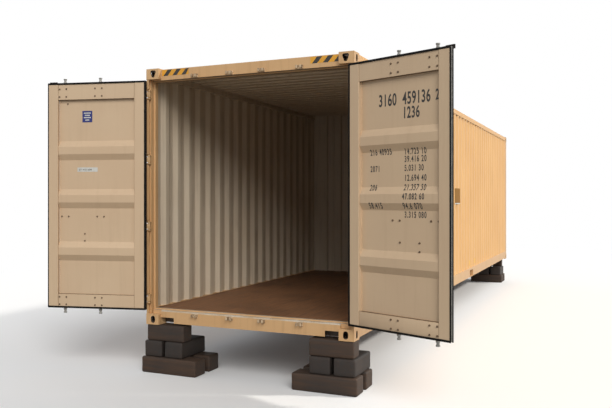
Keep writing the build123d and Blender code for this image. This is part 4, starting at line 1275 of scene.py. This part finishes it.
def worn_beam(low, high, seed):
    """A timber between two corners as a part, its edges worn round and its sides uneven."""
    stations = []
    for start, end in zip(low, high):
        cells = max(2, round((end - start) / CELL))
        inner = [start + WEAR + (end - start - 2 * WEAR) * step / cells
                 for step in range(cells + 1)]
        stations.append([start, start + WEAR * 0.4, *inner, end - WEAR * 0.4, end])
    known, corners, faces = {}, [], []

    def corner(*steps):
        """The number of the corner at three steps, which is made the first time."""
        if steps not in known:
            known[steps] = len(corners)
            raw = Vector([stations[axis][step] for axis, step in enumerate(steps)])
            core = Vector([min(max(raw[axis], low[axis] + WEAR), high[axis] - WEAR)
                           for axis in range(3)])
            out = raw - core
            if out.length > 0:
                raw = core + out.normalized() * WEAR
            sideways = Vector((out.x, out.y, 0))
            if sideways.length > 0:
                worn = 0.5 + 0.5 * noise.noise(raw * 7 + Vector((seed * 3.1, 0, 0)))
                fine = 0.5 + 0.5 * noise.noise(raw * 31 + Vector((0, seed * 1.7, 0)))
                raw -= sideways.normalized() * SAW_ROUGH * (worn + 0.4 * fine)
            corners.append(tuple(raw))
        return known[steps]

    counts = [len(line) - 1 for line in stations]
    for axis in range(3):
        first, second = (axis + 1) % 3, (axis + 2) % 3
        for end in (0, counts[axis]):
            for i in range(counts[first]):
                for j in range(counts[second]):
                    quad = []
                    for di, dj in ((0, 0), (1, 0), (1, 1), (0, 1)):
                        steps = [0, 0, 0]
                        steps[axis], steps[first], steps[second] = end, i + di, j + dj
                        quad.append(corner(*steps))
                    faces.append(tuple(quad if end else reversed(quad)))
    return corners, faces


def boxes_of(node):
    """The boxes of the separate solids of a node."""
    work = bmesh.new()
    work.from_mesh(nodes[node].data)
    bmesh.ops.remove_doubles(work, verts=work.verts, dist=SAME_SPOT)
    left, found = set(work.verts), []
    while left:
        group, edge = set(), [left.pop()]
        while edge:
            vertex = edge.pop()
            group.add(vertex)
            touching = {link.other_vert(vertex) for link in vertex.link_edges} & left
            left -= touching
            edge += touching
        found.append([Vector([pick(vertex.co[axis] for vertex in group) for axis in range(3)])
                      for pick in (min, max)])
    work.free()
    return sorted(found, key=lambda pair: tuple(pair[0]))


for course in ("timber_top_course", "timber_middle_course", "timber_bottom_course"):
    beams = [worn_beam(low, high, seed + len(course))
             for seed, (low, high) in enumerate(boxes_of(course))]
    part_piece(course.replace("_", "-") + "-worn", beams, finish_for(course), "container",
               "packing_timber", course, edge=0, crisp=70)

# %% [markdown]
# ## Painted marks
# Amber plates with black bars warn of the high header. On the doors there are plain figures and
# two plain stickers. Flat marks are made as thin sheets just proud of the steel; the figures on
# the right leaf run across its ribs, so their mesh is cut along each fold and laid on the panel.

# %% Make the mark paints
warning_amber = paint("warning_amber", (224, 158, 40), (232, 172, 62), (150, 104, 50), runs=0.5)
warning_black = paint("warning_black", (32, 30, 28), (52, 48, 44), (90, 74, 56), runs=0.4)
figure_black = paint("figure_black", (30, 28, 27), (44, 41, 38), (86, 72, 58), runs=0.3,
                     specks=0)
sticker_blue = paint("sticker_blue", (26, 36, 104), (36, 48, 118), (58, 58, 84), runs=0.3,
                     specks=0)
sticker_white = paint("sticker_white", (206, 206, 200), (216, 214, 206), (150, 140, 124),
                      specks=0)
mark_yellow = paint("mark_yellow", (232, 180, 40), (238, 192, 66), (160, 118, 50), runs=0.5)
print("mark paints ready")

# %% Lay the header bars
PLATE_ENDS = ((-1.045, -0.700), (0.735, 1.056))
BAR_PITCH, BAR_WIDE, BAR_LEAN = 0.117, 0.056, 0.056
low, high = base + 2.814, base + 2.881
plates, bars = [], []
for start, end in PLATE_ENDS:
    plates.append(prism([(start, low), (end, low), (end, high), (start, high)], 0.0, 0.0008))
    for number in range(3):
        foot = start + 0.018 + number * BAR_PITCH
        bars.append(prism([(foot, low), (foot + BAR_WIDE, low),
                           (min(foot + BAR_WIDE + BAR_LEAN, end), high),
                           (min(foot + BAR_LEAN, end - 0.002), high)], 0.0007, 0.0014))
for name, parts, finish in (("header-amber-plates", plates, warning_amber),
                            ("header-black-bars", bars, warning_black)):
    part_piece(name, parts, finish, "container", "frame_paint", place=OUTER_FACE, edge=0)

# %% Helpers for figures and stickers
MARK_LIFT = 0.0008
CAPITAL_SHARE = 0.73


def figures(words, across, above, height, narrow, spread, hand="right"):
    """Plain figures as a flat mesh in the inner face's frame, starting at a place on the leaf."""
    curve = bpy.data.curves.new("figures", "FONT")
    curve.body = words
    curve.size = height / CAPITAL_SHARE
    curve.extrude = 0.0003
    curve.space_character = spread
    curve.offset = 0.02 * curve.size
    writer = show("figures", curve)
    bpy.context.view_layer.update()
    graph = bpy.context.evaluated_depsgraph_get()
    mesh = bpy.data.meshes.new_from_object(writer.evaluated_get(graph))
    bpy.data.objects.remove(writer)
    run = narrow if hand == "right" else -narrow
    return set_in_place(mesh, Matrix.Translation((-across, above + base, 0))
                        @ Matrix.Diagonal((run, 1, 1, 1)))


def sticker(across, above, wide, high):
    """A flat rectangle in the inner face's frame, as a mesh."""
    return mesh_of("sticker", *slab((-across - wide, above + base, 0),
                                    (-across, above + base + high, 0.0004)))


def laid_on_panel(name, meshes, finish, hand, lift=0.0):
    """Cuts flat marks along the panel's folds and lays them on its inner face."""
    work = bmesh.new()
    for mesh in meshes:
        work.from_mesh(mesh)
    bmesh.ops.remove_doubles(work, verts=work.verts, dist=SAME_SPOT)
    for height, _ in panel_corners():
        bmesh.ops.bisect_plane(work, geom=work.verts[:] + work.edges[:] + work.faces[:],
                               plane_co=(0, leaf_low + height, 0), plane_no=(0, 1, 0))
    for vertex in work.verts:
        vertex.co.z += PANEL_DOWN + panel_depth(vertex.co.y - leaf_low) + MARK_LIFT + lift
    mesh = bpy.data.meshes.new(name)
    work.to_mesh(mesh)
    work.free()
    mesh.materials.clear()
    mesh.materials.append(finish)
    set_in_place(mesh, OPEN[hand] @ INNER_FACE)
    return settle(show(name, mesh), hand + "_door", "door_paint")


print("mark helpers ready")

# %% Write the figures and lay the stickers
# Figures, distance from the free edge, height above the base, height, narrowing and spacing.
BIG_FIGURES = (("3160", 0.838, 2.302, 0.116, 0.62, 1.10),
               ("459136", 0.558, 2.302, 0.116, 0.60, 1.10),
               ("2", 0.196, 2.310, 0.098, 0.60, 1.0),
               ("1236", 0.556, 2.172, 0.108, 0.60, 1.10))
SMALL_FIGURES = {0.536: (("14.725 10", 1.835), ("39.416 20", 1.765), ("5.031 30", 1.682),
                         ("12.694 40", 1.590), ("21.357 50", 1.502), ("47.082 60", 1.418),
                         ("94.6 070", 1.330), ("3.315 080", 1.250)),
                 0.938: (("216 40935", 1.840), ("2071", 1.682), ("206", 1.502),
                         ("58.415", 1.330))}
BLUE_STICKER = (0.410, 2.305, 0.120, 0.132)
# Bars on it: how far in, how far up and how wide.
STICKER_BARS = ((0.018, 0.100, 0.084), (0.030, 0.074, 0.060), (0.018, 0.048, 0.084),
                (0.036, 0.020, 0.048))
written = [figures(*entry) for entry in BIG_FIGURES]
written += [figures(words, across, above, 0.058, 0.62, 1.24)
            for across, rows in SMALL_FIGURES.items() for words, above in rows]
laid_on_panel("right-door-figures", written, figure_black, "right")
across, above = BLUE_STICKER[:2]
bars = [sticker(across + inward, above + up, wide, 0.012) for inward, up, wide in STICKER_BARS]
label = figures("27 415 608", 0.368, 1.751, 0.018, 1.2, 1.15, "left")
for name, meshes, finish, lift in (
        ("blue-sticker", [sticker(*BLUE_STICKER)], sticker_blue, 0.0),
        ("sticker-bars", bars, sticker_white, 0.0005),
        ("white-sticker", [sticker(0.350, 1.735, 0.245, 0.050)], sticker_white, 0.0),
        ("sticker-figures", [label], sleeper_across, 0.0006)):
    laid_on_panel("left-door-" + name, meshes, finish, "left", lift)

# %% Mark the fork pockets and trim the side plate
MARK_HALF, MARK_LOW, MARK_HIGH = 0.030, 0.235, 0.320
RIM, RIM_DROP, RIM_THICK = 0.006, 0.018, 0.003
wall_low, wall_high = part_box("right_side_wall")
_, pitch, margin = rib_layout(WALL, wall_high.x - wall_low.x)
pocket_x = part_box("fork_pockets")[0].x
marks = []
for near in (pocket_x - 0.10, pocket_x + 0.46):
    rib = round((near - wall_low.x - margin + WALL["Outer Flat"] / 2) / pitch)
    middle = wall_low.x + margin + rib * pitch - WALL["Outer Flat"] / 2
    marks.append(slab((middle - MARK_HALF, wall_high.y, base + MARK_LOW),
                      (middle + MARK_HALF, wall_high.y + MARK_LIFT, base + MARK_HIGH)))
part_piece("pocket-marks", marks, mark_yellow, "container", "frame_paint", edge=0)
plate_low, plate_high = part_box("side_plate")
rim = slab((plate_low.x - RIM, plate_low.y, plate_low.z - RIM_DROP),
           (plate_high.x + RIM, plate_low.y + RIM_THICK, plate_low.z))
part_piece("side-plate-rim", [rim], sticker_white, "container", "plate_paint")

# %% [markdown]
# ## Weld beads
# The steel is welded all over: castings to posts and beams, stiles to rails, panels to frames. A
# bead is a small uneven rope of metal. One tree turns any line of points into one: it divides the
# line finely, swells and thins it with noise, and sweeps a small circle along it.

# %% Build the weld tree
def weld_tree():
    """A given line of points as an uneven round bead."""
    tree, given = new_tree("weld_bead", ("Radius", "Step"))
    curve = made(tree, "GeometryNodeMeshToCurve", {"Mesh": given["Geometry"]})
    fine = made(tree, "GeometryNodeResampleCurve", {"Curve": curve, "Length": given["Step"]},
                mode="LENGTH")
    ripple = made(tree, "ShaderNodeTexNoise", {"Scale": 90.0, "Detail": 2.0})
    sized = made(tree, "GeometryNodeSetCurveRadius",
                 {"Curve": fine, "Radius": between(tree, ripple, 0.55, 1.45)})
    ring = made(tree, "GeometryNodeCurvePrimitiveCircle",
                {"Resolution": 6, "Radius": given["Radius"]})
    bead = made(tree, "GeometryNodeCurveToMesh",
                {"Curve": sized, "Profile Curve": ring, "Fill Caps": True})
    return close_tree(tree, bead, given["Finish"])


weld_bead = weld_tree()


def weld(name, lines, finish, body, slot, place=Matrix(), radius=0.0035):
    """Beads along straight lines, each given by its two ends."""
    ends = [end for line in lines for end in line]
    edges = [(number, number + 1) for number in range(0, len(ends), 2)]
    piece = show(name, mesh_of(name, ends, edges=edges))
    run_tree(piece, weld_bead, {"Radius": radius, "Step": 0.012, "Finish": finish})
    set_in_place(piece.data, place)
    piece.data.shade_smooth()
    return settle(piece, body, slot)


print("tree", weld_bead.name, "ready")

# %% Lay the beads
CORNER_BEAD = 0.003
inner_y = (LEAF_FREE + STILE, LEAF_HINGE - STILE)
frame_x = leaf_inner + RAIL_SET_BACK
panel_x = leaf_outer - SHEET - 0.001
# The leaf beads are dark: partly dirt in the joints, partly painted shade for the shadow lines
# along the rails' edges.
leaf_beads = [[(frame_x, y, low), (frame_x, y, high)] for y in inner_y
              for low, high in ((leaf_low, LEDGES[0]), (LEDGES[1], leaf_high))]
leaf_beads += [[(panel_x, y, z) for y in inner_y] for z in LEDGES]
for hand in HANDS:
    weld(hand + "-leaf-beads", leaf_beads, seam_dirt, hand + "_door", "door_paint", OPEN[hand])

frame_beads = []
for sign in (-1, 1):
    cast_y, outer_y = sign * (side - CASTING[1]), sign * (side - CORNER_BEAD)
    for z0, z1 in ((top - CASTING[2], top - 0.008), (base + 0.082, base + CASTING[2])):
        frame_beads.append([(leaf_outer + 0.001, cast_y, z) for z in (z0, z1)])
    for z in (base + CASTING[2], top - CASTING[2]):
        corner = (door_plane - CORNER_BEAD, outer_y, z)
        frame_beads.append([corner, (corner[0], sign * (side - 0.030), z)])
        frame_beads.append([corner, (door_plane - CASTING[0], outer_y, z)])
weld("frame-beads", frame_beads, frame_paint, "container", "frame_paint", radius=0.003)
